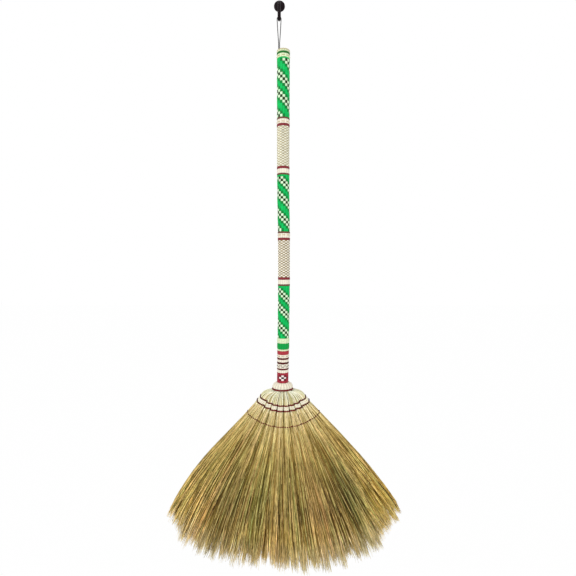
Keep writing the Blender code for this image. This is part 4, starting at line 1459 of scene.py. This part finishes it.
@dataclass
class Collar:
    """Puffed strips that flare out over the stalks, and the cord round their foot."""

    strips: int = 20
    samples: int = 12
    rows: int = 13
    puff: float = 0.0009
    wall: float = 0.0015
    stand_off: float = 0.0006
    depth_share: float = 0.86
    cord_inset: float = 0.75
    cord_steps: int = 360
    cord_twist: Twist = Twist(3, 0.009, 16, 0.2)
    tint: Colour = paint(246, 238, 216)

    def build(self, handle: Handle) -> None:
        """Make the collar and its cord."""
        place_piece("puffed_collar", [self._strips(handle)], CREAM, BROOM, "cream_collar")
        low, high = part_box("collar_cord_ring")
        half = (high.z - low.z) / 2
        wide, deep = ((far - near) / 2 - half * self.cord_inset for near, far in zip(low[:2], high[:2]))
        turn = round_turn(self.cord_steps)
        path = polar(1.0, turn, (low.z + high.z) / 2) * np.array([wide, deep, 1.0])
        cord = twisted_patch(handle.stand(path), half, UP, self.cord_twist, True)
        place_piece("twisted_collar_cord", [cord], COLLAR_CORD, BROOM, "collar_cord_ring", sharp=None)

    def _strips(self, handle: Handle) -> Patch:
        """The radius flares as 1 - (1 - t)^3, with t the way down, and strips puff out between seams."""
        low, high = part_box("cream_collar")
        top_radius, foot_radius = handle.radius(high.z) + self.stand_off, (high.x - low.x) / 2
        share = np.linspace(0, 1, self.rows)
        height = high.z - (high.z - low.z) * share
        radius = top_radius + (foot_radius - top_radius) * (1 - (1 - share) ** 3)
        turn = round_turn(self.strips * self.samples)
        crown = np.abs(np.cos(self.strips / 2 * turn))[:, None] ** 0.5
        puffed = radius + self.puff * (crown - 0.6) * (0.4 + 0.6 * np.sin(pi * share))
        back = [-1, self.rows // 2, 0]
        inner = np.broadcast_to(radius[back] - self.wall, (len(turn), len(back)))
        points = turned(np.concatenate([puffed, inner], axis=1), np.concatenate([height, height[back]]))
        drop = np.clip((high.z - points[..., 2]) / (high.z - low.z), 0, 1)
        points[..., 1] *= 1 + (self.depth_share - 1) * drop
        # Painted shade: darker at the seams between the puffed strips, lighter on their crowns; the inside is
        # painted darker.
        light = np.repeat(0.62 + 0.42 * crown, self.rows, axis=1)
        light = np.concatenate([light, np.full(inner.shape, 0.6)], axis=1)
        return grid_patch(handle.stand(points), light[..., None] * np.array(self.tint), True)


@dataclass(frozen=True)
class Zone:
    """A soft patch of the fan where the straw has weathered to another colour.

    Attributes:
        spread: Where its middle lies across the fan.
        reach: Where its middle lies down the fan.
        hue: Its push to olive, below 0, or to brown, above 0.
        light: Its share of lightness gained or lost.
    """

    spread: float
    reach: float
    hue: float
    light: float
    width: float = 0.13
    length: float = 0.075

    def strength(self, spread: Array, reach: Array) -> Array:
        """From 1 in its middle to 0, as a bell curve that is long down the fan."""
        return np.exp(-((spread - self.spread) / self.width) ** 2 - ((reach - self.reach) / self.length) ** 2)


@dataclass(frozen=True)
class StrawColours:
    """The colours of the straw by its place in the fan.

    The paints are given by reach: pale at the shoulder, golden under the stitches, darker and greyer down the
    fan, tan at the tips. Hues push them to brown (warm) or to olive (cool), most where hue_depth is largest.
    A straw's lightness acts on each part of its colour by its own power.
    """

    places: tuple[float, ...] = (0.0, 0.066, 0.080, 0.110, 0.150, 0.200, 0.280, 0.322, 0.356, 0.385)
    paints: tuple[Colour, ...] = (
        paint(254, 252, 224), paint(250, 238, 190), paint(223, 193, 125), paint(214, 187, 116),
        paint(189, 160, 91), paint(173, 146, 77), paint(160, 133, 68), paint(182, 152, 77),
        paint(253, 223, 146), paint(255, 240, 194),
    )
    zones: tuple[Zone, ...] = (
        Zone(-0.52, 0.250, -0.5, -0.16), Zone(-0.26, 0.245, -1.5, 0.02), Zone(0.02, 0.180, 0.2, -0.12),
        Zone(0.37, 0.262, 1.2, -0.18), Zone(0.70, 0.268, -1.2, -0.38), Zone(0.97, 0.280, 0.0, 0.62),
        Zone(-0.96, 0.320, 0.0, 0.42), Zone(-0.10, 0.340, 0.7, 0.05), Zone(0.30, 0.345, 0.3, 0.06),
        Zone(0.86, 0.355, -0.1, 0.85), Zone(-0.56, 0.298, 0.3, -0.26), Zone(-0.76, 0.345, 0.8, 0.20),
        Zone(-0.76, 0.245, -0.2, 0.16),
    )
    warm: Colour = (0.01, -0.075, -0.05)
    cool: Colour = (-0.135, -0.02, -0.08)
    hue_limit: float = 2.2
    hue_depth: Curve = Curve((0.06, 0.12, 0.20, 0.33, 0.37), (0.35, 0.7, 1.0, 1.0, 0.3))
    light_powers: Colour = (0.94, 1.06, 1.65)
    brightest: float = 0.95
    darkest: float = 0.003

    def tints(self, reach: Array, spread: Array, hue: Array, light: Array) -> Array:
        """The colour of strands along their length.

        Args:
            reach: Distance from the fan's centre, strands or 1 by rings.
            spread: Each strand's spread, strands by 1.
            hue: Each strand's own push, to olive below 0 and to brown above, strands by 1.
            light: Each strand's lightness, around 1, with its painted shade, strands by 1 or by rings.

        Returns:
            Colours, strands by rings by 3.
        """
        reach, spread, hue, light = np.broadcast_arrays(reach, spread, hue, light)
        paints = np.array(self.paints)
        base = np.stack([np.interp(reach, self.places, paints[:, part]) for part in range(3)], axis=-1)
        push, gain = hue.copy(), np.ones_like(light)
        for zone in self.zones:
            strength = zone.strength(spread, reach)
            push = push + zone.hue * strength
            gain = gain * (1 + zone.light * strength)
        push = np.clip(push, -self.hue_limit, self.hue_limit)[..., None]
        cast = np.array(self.warm) * np.maximum(push, 0) + np.array(self.cool) * np.maximum(-push, 0)
        lit = light[..., None] ** np.array(self.light_powers) * gain[..., None]
        tint = base * (1 + cast * self.hue_depth.at(reach)[..., None]) * lit
        over = np.maximum(1, tint.max(axis=-1, keepdims=True) / self.brightest)
        return np.maximum(tint / over, self.darkest)


@dataclass
class Hank:
    """One hank of the fan: a dark core painted as the shade inside it, the stalks over the shoulder, and the
    straws.
    """

    number: int
    fan: Fan
    colours: StrawColours = StrawColours()
    # The dark core's colour is painted shade inside the hank, seen through the gaps between stalks and
    # straws.
    core_shade_tint: Colour = paint(48, 37, 20)
    core_across: int = 8
    core_edge: float = 0.925
    core_end: float = 0.24
    core_depths: Triple = (0.82, 0.74, 0.25)
    squeeze: float = 0.09
    squeeze_end: float = 0.19
    stitch_squeeze: float = 0.07
    stalk_pitch: float = 0.0032
    shoulder_rings: int = 14
    stalk_rings: int = 18
    # Each layer's depth, size and light; the second layer's lower light is painted shade under the first.
    stalk_layers: tuple[Triple, ...] = ((1.0, 1.0, 1.0), (0.90, 0.9, 0.60))
    stalk_sizes: Pair = (0.80, 1.12)
    stalk_end: float = 0.090
    stalk_light: float = 1.22
    stalk_light_cap: float = 1.20
    dull_share: float = 0.15
    hue_spread: float = 0.8
    root_reach: float = 0.0745
    key_step: float = 10.0
    rng: np.random.Generator = field(init=False)

    def __post_init__(self) -> None:
        """Find the hank's edges and seed its own random draws."""
        self.rng = np.random.default_rng(SEED + self.number)
        self.left, self.right = self.fan.bounds()[self.number:self.number + 2]
        self.width = self.right - self.left
        self.outer = self.number in (0, self.fan.hanks - 1)

    def build(self) -> None:
        """Make the hank's stalks, round their core, and its straws."""
        name = f"hank_{self.number + 1}"
        place_piece("stalks_" + name, [self._core(), self._stalks()], STALK, BROOM, name, sharp=None)
        place_piece("straw_" + name, [Straws(self).patch()], STRAW, BROOM, name, sharp=None)

    def squeeze_at(self, reach: Array | float) -> Array:
        """The share of its width that the hank loses at a reach: most at the stitches, none past the seam."""
        ease = np.clip((self.squeeze_end - reach) / (self.squeeze_end - self.fan.seam), 0, 1)
        near = np.clip((self.fan.seam - reach) / (self.fan.seam - self.fan.lower_stitch), 0, 1)
        return self.squeeze * ease + self.stitch_squeeze * near

    def spread_at(self, share: Array, reach: Array) -> Array:
        """The spread at a share of the hank's width."""
        return self.left + self.width * (0.5 + (share - 0.5) * (1 - self.squeeze_at(reach)))

    def _core(self) -> Patch:
        """A dark closed body under the stalks and straws, from inside the collar to past the seam, painted as
        the shade deep in the hank.
        """
        fan, across = self.fan, self.core_across
        spread = np.tile(self.left + self.width * np.linspace(0.004, 0.996, across), 2)
        spread = np.clip(spread, -self.core_edge, self.core_edge)
        side = np.repeat([-1.0, 1.0], across)
        shoulder = fan.shoulder(spread, side * self.core_depths[0], 10)
        reach = np.linspace(fan.upper_stitch, self.core_end, 10)[None, 1:]
        thin = np.interp(reach, [fan.upper_stitch, fan.seam, self.core_end], self.core_depths)
        deep = fan.surface(reach, spread[:, None]) * side[:, None]
        points = np.concatenate([shoulder, fan.point(reach, spread[:, None], deep * thin)], axis=1)
        order = np.concatenate([np.arange(across), np.arange(2 * across - 1, across - 1, -1)])
        return grid_patch(points[order[::-1]].transpose(1, 0, 2), self.core_shade_tint)

    def _stalks(self) -> Patch:
        """Pale stalks side by side over the shoulder, in front and behind, to the lower stitch.

        A second layer lies under the first, in its gaps, painted darker as its shade. An outer hank has more
        stalks round the fan's edge.
        """
        fan, rng = self.fan, self.rng
        width = abs(float(fan.angle(fan.upper_stitch, self.right) - fan.angle(fan.upper_stitch, self.left)))
        count = max(3, round(width * fan.upper_stitch / self.stalk_pitch))
        shares = (np.arange(count) + 0.5) / count
        rows = []
        for depth, size, light in self.stalk_layers:
            spreads = self.left + self.width * shares
            rows += [(spreads, *np.full((3, count), [[side * depth], [size], [light]])) for side in (-1, 1)]
            shares = (shares + 0.5 / count) % 1
        if self.outer:
            edge = self.left + 0.02 if self.number == 0 else self.right - 0.02
            ones = np.ones(9)
            rows.append((ones * edge, np.linspace(-0.85, 0.85, len(ones)), ones, ones))
        spread, side, sizes, lights = (np.concatenate(parts) for parts in zip(*rows))
        total = len(spread)
        spread = np.clip(spread + rng.normal(0, 0.008, total), -0.985, 0.985)
        shoulder = fan.shoulder(spread, side, self.shoulder_rings)
        below = self.stalk_rings - self.shoulder_rings
        reach = np.linspace(fan.upper_stitch, self.stalk_end, below + 1)[None, 1:]
        deep = fan.surface(reach, spread[:, None]) * side[:, None]
        down = np.linspace(0, 1, below)
        middle = (self.left + self.right) / 2
        drawn = middle + (spread[:, None] - middle) * (1 - self.squeeze_at(self.stalk_end) * down)
        centres = np.concatenate([shoulder, fan.point(reach, drawn, deep * (1 - 0.10 * down ** 2))], axis=1)
        taper = np.concatenate([np.linspace(0.42, 1, self.shoulder_rings), 1 - 0.1 * down])
        sizes = rng.uniform(*self.stalk_sizes, total) * sizes
        radii = sizes[:, None] * taper * self.stalk_pitch / 2
        hue = rng.normal(0, self.hue_spread, (total, 1))
        light = self.stalk_light * np.exp(0.22 * rng.standard_normal((total, 1)))
        light = np.minimum(light, self.stalk_light_cap)
        dull = rng.random((total, 1)) < self.dull_share
        light = np.where(dull, 0.66, light) * lights[:, None]
        along = np.linspace(0, self.root_reach, self.stalk_rings)[None]
        tints = self.colours.tints(along, spread[:, None], hue, light)
        return strand_patch(centres, radii, tints, self.key_step * np.arange(total))


@dataclass
class Straws:
    """The fine straws of one hank, from under the lower stitch to the tips.

    Bundles stand in columns across the hank and in layers through it, and columns form tufts. A straw ends at
    its hank's reach less its bundle's and tuft's draws and an exponential draw of its own, so that the fan
    thins out to its tips, and sooner towards the fan's edges. Sprigs branch off farther down and end sooner,
    near the surface. A few bold straws branch off too but run on to the tips, plainly dark or bright.
    """

    hank: Hank
    straws: int = 1950
    rings: int = 7
    radius: float = 0.00080
    sizes: Pair = (0.7, 1.3)
    taper: Curve = Curve((0, 0.12, 0.6, 0.85, 1), (0.80, 1.0, 1.0, 0.6, 0.18))
    bundle_width: float = 0.0105
    layers: int = 7
    tuft_width: float = 0.055
    sprig_share: float = 0.30
    sprig_depths: Pair = (0.82, 1.04)
    sprig_lengths: Pair = (0.06, 0.16)
    branch_reaches: Pair = (0.088, 0.29)
    branch_sink: Curve = Curve((0, 0.17), (0.25, 0))
    bold_share: float = 0.016
    bold_dark_share: float = 0.0088
    bold_dark: float = 0.30
    bold_bright: float = 1.6
    edge_from: float = 0.74
    edge_shorter: float = 0.0270
    bundle_shorter: float = 0.011
    tuft_shorter: float = 0.014
    thinning: float = 0.024
    widening: Curve = Curve((0.15, 0.39), (0, 0.10))
    waves: Pair = (0.6, 1.8)
    sway: float = 0.0008
    stray: float = 0.0012
    sprig_stray: float = 0.0026
    tip_stray: float = 0.0030
    depth_stray: float = 0.0014
    light_cap: float = 1.6
    bundle_contrast: float = 0.24
    straw_contrast: float = 0.55
    deep_painted_shade: Curve = Curve((0.35, 0.85), (0.26, 1))
    line_ends: Pair = (0.17, 0.82)
    line_tones: Pair = (0.34, 1.30)
    line_power: Curve = Curve((0.11, 0.20), (1.0, 0.5))
    along_strength: Curve = Curve((0, 0.1, 0.8, 1), (0.6, 1, 0.85, 0.1))
    down_power: Curve = Curve((0.10, 0.14, 0.18, 0.23, 0.29), (1.0, 0.75, 0.8, 1.2, 1.5))

    def __post_init__(self) -> None:
        """Draw each straw's place, bundle and tuft, as columns of one value a straw.

        Across the hank, from 0 to 1, lie the straw (share), its bundle's middle and its tuft's; through it,
        from -1 in front to 1 behind, lie the straw (deep) and its bundle's middle.
        """
        hank, fan, rng = self.hank, self.hank.fan, self.hank.rng
        count = round(self.straws * fan.outer_share) if hank.outer else self.straws
        columns = max(4, round(hank.width / self.bundle_width))
        column, layer = rng.integers(0, columns, (count, 1)), rng.integers(0, self.layers, (count, 1))
        self.bundle = column * self.layers + layer
        self.draws = rng.random((columns * self.layers, 6))[self.bundle[:, 0]]
        self.line = rng.random(columns)[column]
        bold_draw = np.random.default_rng(SEED * fan.hanks + hank.number).random((count, 1))
        self.bold = bold_draw < self.bold_share
        self.bold_light = np.where(bold_draw < self.bold_dark_share, self.bold_dark, self.bold_bright)
        self.sprig = (rng.random((count, 1)) < self.sprig_share) & ~self.bold
        self.branched = self.sprig | self.bold
        self.share = (column + rng.random((count, 1))) / columns
        self.middle = (column + 0.2 + 0.6 * self.draws[:, :1]) / columns
        deep = self.deep_in(layer + rng.random((count, 1)))
        facing = np.where(deep < 0, -1.0, 1.0)
        deep = np.where(self.sprig, facing * rng.uniform(*self.sprig_depths, (count, 1)), deep)
        self.deep = np.where(self.bold, facing * self.sprig_depths[1], deep)
        middle_deep = self.deep_in(layer + 0.3 + 0.4 * self.draws[:, 1:2])
        self.middle_deep = np.where(self.branched, self.deep, middle_deep)
        tufts = max(2, round(hank.width / self.tuft_width))
        tuft = np.minimum((self.middle * tufts).astype(int), tufts - 1)
        tuft_draws = rng.random((tufts, 3))[tuft[:, 0]]
        self.tuft_middle = (tuft + 0.3 + 0.4 * tuft_draws[:, :1]) / tufts
        self.tuft_pull = 0.22 + 0.46 * tuft_draws[:, 2:]
        spread = hank.left + hank.width * self.middle
        edge = np.clip((np.abs(spread) - self.edge_from) / (1 - self.edge_from), 0, 1)
        shorter = self.bundle_shorter * self.draws[:, 3:4] + self.tuft_shorter * tuft_draws[:, 1:2]
        shorter += np.minimum(rng.exponential(self.thinning, (count, 1)), 0.105)
        reaches = np.interp(spread, (fan.bounds()[1:] + fan.bounds()[:-1]) / 2, fan.tip_reaches)
        tip = reaches - self.edge_shorter * edge ** 2 * (3 - 2 * edge) - shorter
        root = hank.root_reach + np.where(np.abs(self.deep) > 0.8, 0, 0.05 * rng.random((count, 1)))
        branch = rng.uniform(*self.branch_reaches, (count, 1))
        self.root = np.where(self.branched, branch, root)
        sprig_tip = branch + rng.uniform(*self.sprig_lengths, (count, 1))
        self.tip = np.where(self.sprig, np.minimum(tip, sprig_tip), tip)

    def deep_in(self, place: Array) -> Array:
        """The depth, from -1 to 1, of a place counted in layers, which are thinner near the surfaces."""
        return np.sin(pi / 2 * (2 * place / self.layers - 1))

    def patch(self) -> Patch:
        """The straws as strands, drawn into bundles and the bundles into tufts.

        Along a straw, with t from 0 to 1, it comes nearer its bundle's middle by a pull times t^0.7, and its
        bundle nearer the tuft's middle by a pull times t^4, while the whole hank spreads a little past its
        edges. It sways by a sine of its own and strays from its line by a draw times t, and more at its tip.
        """
        hank, fan, rng, count = self.hank, self.hank.fan, self.hank.rng, len(self.share)
        t = np.linspace(0, 1, self.rings)[None]
        reach = self.root + (self.tip - self.root) * t
        pull = np.where(self.sprig, 0.2, 0.30 + 0.45 * self.draws[:, 2:3]) * t ** 0.7
        shares = self.share + (self.middle - self.share) * pull
        shares = shares + (self.tuft_middle - self.middle) * self.tuft_pull * t ** 4
        if not hank.outer:
            shares = 0.5 + (shares - 0.5) * (1 + self.widening.at(reach))
        deeps = self.deep + (self.middle_deep - self.deep) * pull
        wave = np.sin(pi * (t * rng.uniform(*self.waves, (count, 1)) + rng.random((count, 1))))
        stray = rng.normal(0, 1, (count, 1)) * np.where(self.sprig, self.sprig_stray, self.stray)
        aside = rng.normal(0, self.sway, (count, 1)) * wave * t + stray * t
        aside = aside + rng.normal(0, self.tip_stray, (count, 1)) * t ** 4
        own = hank.left + hank.width * np.clip(self.share, 0.01, 0.99)
        aside = aside * np.clip((1 - np.abs(own)) / 0.10, 0.15, 1)
        spread = hank.spread_at(shares, reach)
        crown = 1 + (fan.crown(own) - 1) * np.interp(reach, [fan.seam, 0.22], [1, 0])
        sink = 1 - self.branched * self.branch_sink.at(t)
        depth = 0.97 * deeps * sink * fan.half_depth(reach, np.clip(spread, -1, 1)) * crown
        depth = depth + rng.normal(0, self.depth_stray, (count, 1)) * t ** 3
        radii = rng.uniform(*self.sizes, (count, 1)) * self.taper.at(t) * self.radius
        hue = (self.draws[:, 4:5] - 0.6) * 1.3 + rng.normal(0, hank.hue_spread, (count, 1))
        tints = hank.colours.tints(reach, own, hue, self._lights(own, reach, t))
        keys = hank.key_step * self.bundle + rng.uniform(0, hank.key_step / 2, (count, 1))
        return strand_patch(fan.point(reach, spread, depth, aside), radii, tints, keys[:, 0])

    def _lights(self, own: Array, reach: Array, t: Array) -> Array:
        """The straws' lightness along their length, around 1, with painted shade.

        It is e to a draw of the bundle's and one of the straw's own, and less deep in the hank, as painted
        shade. Whole columns are darker or brighter, most near the seam, and contrast fades at the roots and
        tips.

        Args:
            own: Each straw's spread at its root.
            reach: Its reach, straws by rings.
            t: The share of its length at each ring.

        Returns:
            Lightness, straws by rings.
        """
        outside = np.maximum(np.abs(self.deep), np.abs(own) ** 10)
        drawn = self.bundle_contrast * (self.draws[:, 5:] * 2 - 1)
        drawn = drawn + self.straw_contrast * self.hank.rng.standard_normal(own.shape)
        light = np.minimum(np.exp((1 + 0.5 * np.abs(own)) * drawn), self.light_cap)
        # Painted shade: straws deep in the hank are darkened; those at the surface and the fan's edges keep
        # their light.
        light = np.where(self.bold, self.bold_light, light * self.deep_painted_shade.at(outside))
        dark, bright = self.line < self.line_ends[0], self.line > self.line_ends[1]
        tone = np.where(dark, self.line_tones[0], np.where(bright, self.line_tones[1], 1.0))
        tone = np.where(self.bold, 1.0, tone)
        toned = 1 + (light * tone ** self.line_power.at(reach) - 1) * self.along_strength.at(t)
        return np.where(self.sprig, light, toned) ** self.down_power.at(reach)


@dataclass
class HeadStitching:
    """The cords sewn round the head, the plait between them and the seam below."""

    fan: Fan
    cord_radius: float = 0.0013
    thread_radius: float = 0.00088
    step: float = 0.0030
    step_width: float = 0.035
    seam_pitch: float = 0.0038
    seam_rise: float = 0.0021
    seam_sink: float = 0.0007
    upper_rise: float = 0.0007
    lower_rise: float = 0.0009
    seam_lift: float = 0.0001
    seam_pull: float = 0.0008
    margin: float = 0.0003
    edge_dark: float = 0.8
    plait_thickness: float = 0.0017
    plait_pitch: float = 0.0034
    notch_width: float = 0.0010
    plait_tint: Colour = paint(255, 249, 228)
    twist: Twist = Twist(3, 0.0066, 12, 0.2)
    sides: int = 8
    across: int = 13

    def build(self) -> None:
        """Make both stitch cords, the plaited band and the seam."""
        fan = self.fan
        for name, node, reach in (
                ("upper_twisted_stitch", "upper_stitch_cord", fan.upper_stitch - self.upper_rise),
                ("lower_twisted_stitch", "lower_stitch_cord", fan.lower_stitch - self.lower_rise)):
            patches = [self._cord(reach), *self._bindings(reach)]
            place_piece(name, patches, RED_CORD, BROOM, node, sharp=None)
        place_piece("plaited_stalks", [self._plait()], PLAIT, BROOM, "plaited_band")
        place_piece("running_seam", [self._seam()], RED_CORD, BROOM, "seam_thread", sharp=None)

    def _stepped(self, reach: float, count: int) -> Array:
        """A loop's reaches: in each hank the line lies a little flatter than the arc, and steps at its edges.

        The step is a share of the way across the hank, less a half, that turns back near the hank's edges
        and fades out towards the middle of the fan.
        """
        spread = self.fan.loop_spread(count)
        share = self.fan.share_in_hank(spread)
        turned_back = np.minimum(1, np.minimum(share, 1 - share) / self.step_width)
        return reach + self.step * (share - 0.5) * turned_back * np.clip(2.2 * spread, -1, 1)

    def _cord(self, reach: float, count: int = 420) -> Patch:
        """A three-ply cord that dips and steps between the hanks, darker towards the fan's edges."""
        path = self.fan.loop(self._stepped(reach, count), self.cord_radius * 0.75, count)
        guide = self.fan.outward(count)
        cord = twisted_patch(path, self.cord_radius, guide, self.twist, True)
        # The cord is darker towards the fan's edges.
        tone_scale = 1 - self.edge_dark * self.fan.loop_spread(count) ** 2
        cord.tints *= np.repeat(tone_scale, self.twist.sides)[:, None]
        return cord

    def _bindings(self, reach: float) -> list[Patch]:
        """Dark turns of cord round the stitch cord, between the hanks in front and behind."""
        fan, made = self.fan, []
        for spread in fan.bounds()[1:-1]:
            angle = float(fan.angle(reach, spread))
            out = np.array([sin(angle), 0.0, -cos(angle)])
            aside = np.array([cos(angle), 0.0, sin(angle)])
            for side in (-1, 1):
                deep = fan.surface(reach, spread) + self.cord_radius * 0.9
                centre = fan.point(reach, spread, side * deep)
                turn = circle(20)
                ring = self.cord_radius * 1.3 * (turn[:, :1] * out + turn[:, 1:] * side * BACK)
                section = circle(self.sides) * self.cord_radius / 2
                for shift in (-0.5, 0.5):
                    path = centre + ring + aside * shift * self.cord_radius
                    made.append(grid_patch(sweep(path, section, aside, True), np.zeros(3), True))
        return made

    def _plait(self, count: int = 700) -> Patch:
        """A flat plait in each hank's width.

        Across the band v runs from -1 to 1. Its thickness is a rounded edge, sqrt(1 - v^6), less grooves that
        slant one way above the middle and the other way below it, and it is cut down between the hanks.
        """
        fan = self.fan
        near = fan.upper_stitch - self.upper_rise + self.cord_radius + self.margin
        far = fan.lower_stitch - self.lower_rise - self.cord_radius - self.margin
        v = np.linspace(-1, 1, self.across)
        steps = [self._stepped(near + (far - near) * (place + 1) / 2, count) for place in v]
        middle_line = fan.loop(steps[self.across // 2], 0.0, count)
        distance = np.cumsum(np.linalg.norm(np.roll(middle_line, -1, axis=0) - middle_line, axis=1))
        phase = round(distance[-1] / self.plait_pitch) * distance / distance[-1]
        groove = np.abs(np.sin(pi * (phase[:, None] + 0.55 * np.abs(v)[None]))) ** 0.5
        middle = np.clip(np.abs(v) / 0.16, 0, 1)[None] ** 0.7
        spread = fan.loop_spread(count)
        across = np.abs(spread[:, None] - fan.bounds()[None, 1:-1]).min(axis=1)
        off = fan.angle(fan.lower_stitch, across) * fan.lower_stitch
        notch = 1 - np.exp(-(off / self.notch_width) ** 2)[:, None]
        edge = np.sqrt(1 - np.abs(v) ** 6)[None]
        thick = self.plait_thickness * edge * (0.45 + 0.55 * groove * middle) * (0.10 + 0.90 * notch)
        rings = [fan.loop(step, thick[:, n], count) for n, step in enumerate(steps)]
        rings += [fan.loop(step, -0.0006, count) for step in (steps[-1], steps[0])]
        # Painted shade: darker in the plait's grooves and where it is cut down between the hanks; the inner
        # rings are painted darker.
        light = (0.72 + 0.28 * groove * middle) * (0.12 + 0.88 * notch)
        light = np.concatenate([light, np.full((len(light), 2), 0.4)], axis=1)
        return grid_patch(np.stack(rings, axis=1), light[..., None] * np.array(self.plait_tint), True)

    def _seam(self, count: int = 1200) -> Patch:
        """A thread in and out of the straw: its stand-off is a sine of its length, a stitch to each pitch.

        Round the fan's edges it is pulled in.
        """
        reach = self.fan.seam - self.seam_lift
        base = self.fan.loop(reach, 0.0, count)
        distance = np.cumsum(np.linalg.norm(np.roll(base, -1, axis=0) - base, axis=1))
        wave = np.sin(TAU * round(distance[-1] / self.seam_pitch) * distance / distance[-1])
        spread = self.fan.loop_spread(count)
        edge = np.abs(spread) ** 40
        stand_off = self.seam_rise * wave * (1 - 0.75 * edge) - self.seam_sink - self.seam_pull * edge
        path = self.fan.loop(reach, stand_off, count)
        section = circle(self.sides) * self.thread_radius
        guide = self.fan.outward(count)
        tints = np.tile(0.62 * (1 - 0.7 * spread ** 2)[:, None, None], (1, self.sides, 3))
        return grid_patch(sweep(path, section, guide, True), tints, True)


@dataclass(frozen=True)
class Wrapping:
    """The woven sleeves, plain bands, wound rings and marking threads of the handle."""

    handle: Handle
    order: tuple[str, ...] = ("first", "second", "third", "fourth")

    def build(self) -> None:
        """Weave the sleeves, lay the bands, wind the rings and run the threads."""
        for band in (*self._woven(), *self._plain(), *self._rings()):
            band.build(self.handle)
        mark, faint, grey = paint(196, 168, 118), paint(182, 166, 134), paint(52, 50, 40)
        threads = {"crown_cream_band": [Thread(0.0, mark)], "first_cream_band": [Thread(-0.001, mark)],
                   "lined_cream_band": [Thread(0.0, faint)], "third_cream_band": [Thread(0.0012, mark)],
                   "low_cream_band": [Thread(0.0, mark)],
                   "marked_cream_band": [Thread(0.0012, grey, over=1), Thread(-0.0012, grey)]}
        for node, runs in threads.items():
            low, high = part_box(node)
            patches = [run.patch(self.handle, (low.z + high.z) / 2) for run in runs]
            place_piece("thread_on_" + node, patches, TAN, BROOM, sharp=None)

    def _woven(self) -> list[Sleeve]:
        """The three green sleeves, the two ivory ones and the red band with its crosses."""
        # The dark sunk and notch greens are partly the weave's dark strips and partly painted shade where
        # those cells lie recessed.
        green = {Cell.UPRIGHT: paint(4, 196, 94), Cell.ACROSS: paint(224, 255, 214),
                 Cell.SUNK: paint(36, 62, 22), Cell.NOTCH: paint(14, 142, 62)}
        ivory = {Cell.ACROSS: paint(255, 254, 234), Cell.SUNK: paint(220, 208, 168)}
        tawny = {Cell.ACROSS: paint(255, 251, 236), Cell.SUNK: paint(178, 158, 116)}
        cross = {Cell.UPRIGHT: paint(172, 50, 66), Cell.ACROSS: paint(255, 240, 236),
                 Cell.SUNK: paint(28, 28, 22), Cell.NOTCH: paint(128, 32, 50)}
        spiral, tabby = Pattern.SPIRAL, Pattern.TABBY
        return [
            Sleeve("green_weave_upper", spiral, 15, 22, green, GREEN, (0, 8), 0.5, turned_share=0.25),
            Sleeve("green_weave_middle", spiral, 15, 23, green, GREEN, (3, 10), 0.75, 1.25, turned_share=0.5),
            Sleeve("green_weave_lower", spiral, 15, 23, green, GREEN, (4, 11), turned_share=0.25),
            Sleeve("ivory_weave_upper", tabby, 16, 31, ivory, IVORY, groove_dark=0.34),
            Sleeve("ivory_weave_lower", tabby, 16, 29, tawny, IVORY, groove_dark=0.26),
            Sleeve("motif_red_band", Pattern.CROSS, 14, 5, cross, RED, (), 1.2, 1.2),
        ]

    def _plain(self) -> list[Sleeve]:
        """The bands of upright strips alone, from the top down."""
        pale, green, red = paint(230, 246, 202), paint(12, 166, 72), paint(182, 58, 70)
        return [
            Sleeve.plain("crown_cream_band", pale),
            *(Sleeve.plain(f"{place}_cream_band") for place in self.order),
            Sleeve.plain("low_cream_band", pale, bulge=0.0007),
            Sleeve.plain("low_green_band", green, GREEN, 0.0006), Sleeve.plain("narrow_cream_band", pale),
            Sleeve.plain("plain_red_band", red, RED, 0.0002),
            *(Sleeve.plain(f"{kind}_cream_band") for kind in ("lined", "plain", "marked", "last")),
        ]

    def _rings(self) -> list[WoundRing]:
        """The fine brown rings, the dark red ones and the odd ones."""
        fine, dark, thin = paint(126, 82, 70), paint(150, 58, 66), paint(110, 42, 44)
        return [
            *(WoundRing(f"{place}_fine_ring", fine) for place in self.order),
            *(WoundRing(f"{place}_dark_ring", dark, 2) for place in self.order),
            WoundRing("thin_red_ring", thin), WoundRing("last_red_ring", thin),
            WoundRing("zigzag_ring", paint(92, 34, 34), wave=-0.0007),
            WoundRing("crown_green_ring", paint(42, 122, 50), finish=GREEN),
        ]


def dress_hidden(handle: Handle) -> None:
    """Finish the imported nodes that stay: the stick, and what the collar hides."""
    dress_node("handle_stick", WoodFinish("bare_wood_finish", (handle.x, handle.y), paint(214, 178, 128),
                                          paint(158, 116, 70)))
    dress_node("stalk_neck", PlainFinish("stalk_butt_finish", paint(222, 208, 150), paint(150, 130, 78),
                                         (1500.0, 1500.0, 90.0)))
    dress_node("neck_binding", PlainFinish("steel_wire_finish", paint(190, 188, 182), paint(120, 118, 114),
                                           (3500.0,) * 3, 0.3, 1.0, 0.00002))


def main() -> None:
    """Build the studio, the hook, the loop, the handle and the head."""
    logging.basicConfig(level=logging.INFO, format="%(message)s")
    Studio().build()
    HangingLoop().build()
    WallHook().build()
    handle = Handle.from_frame()
    fan = Fan.from_frame(handle)
    EndRim().build(handle)
    Wrapping(handle).build()
    Collar().build(handle)
    for number in range(fan.hanks):
        Hank(number, fan).build()
    HeadStitching(fan).build()
    dress_hidden(handle)


if __name__ == "__main__":
    main()
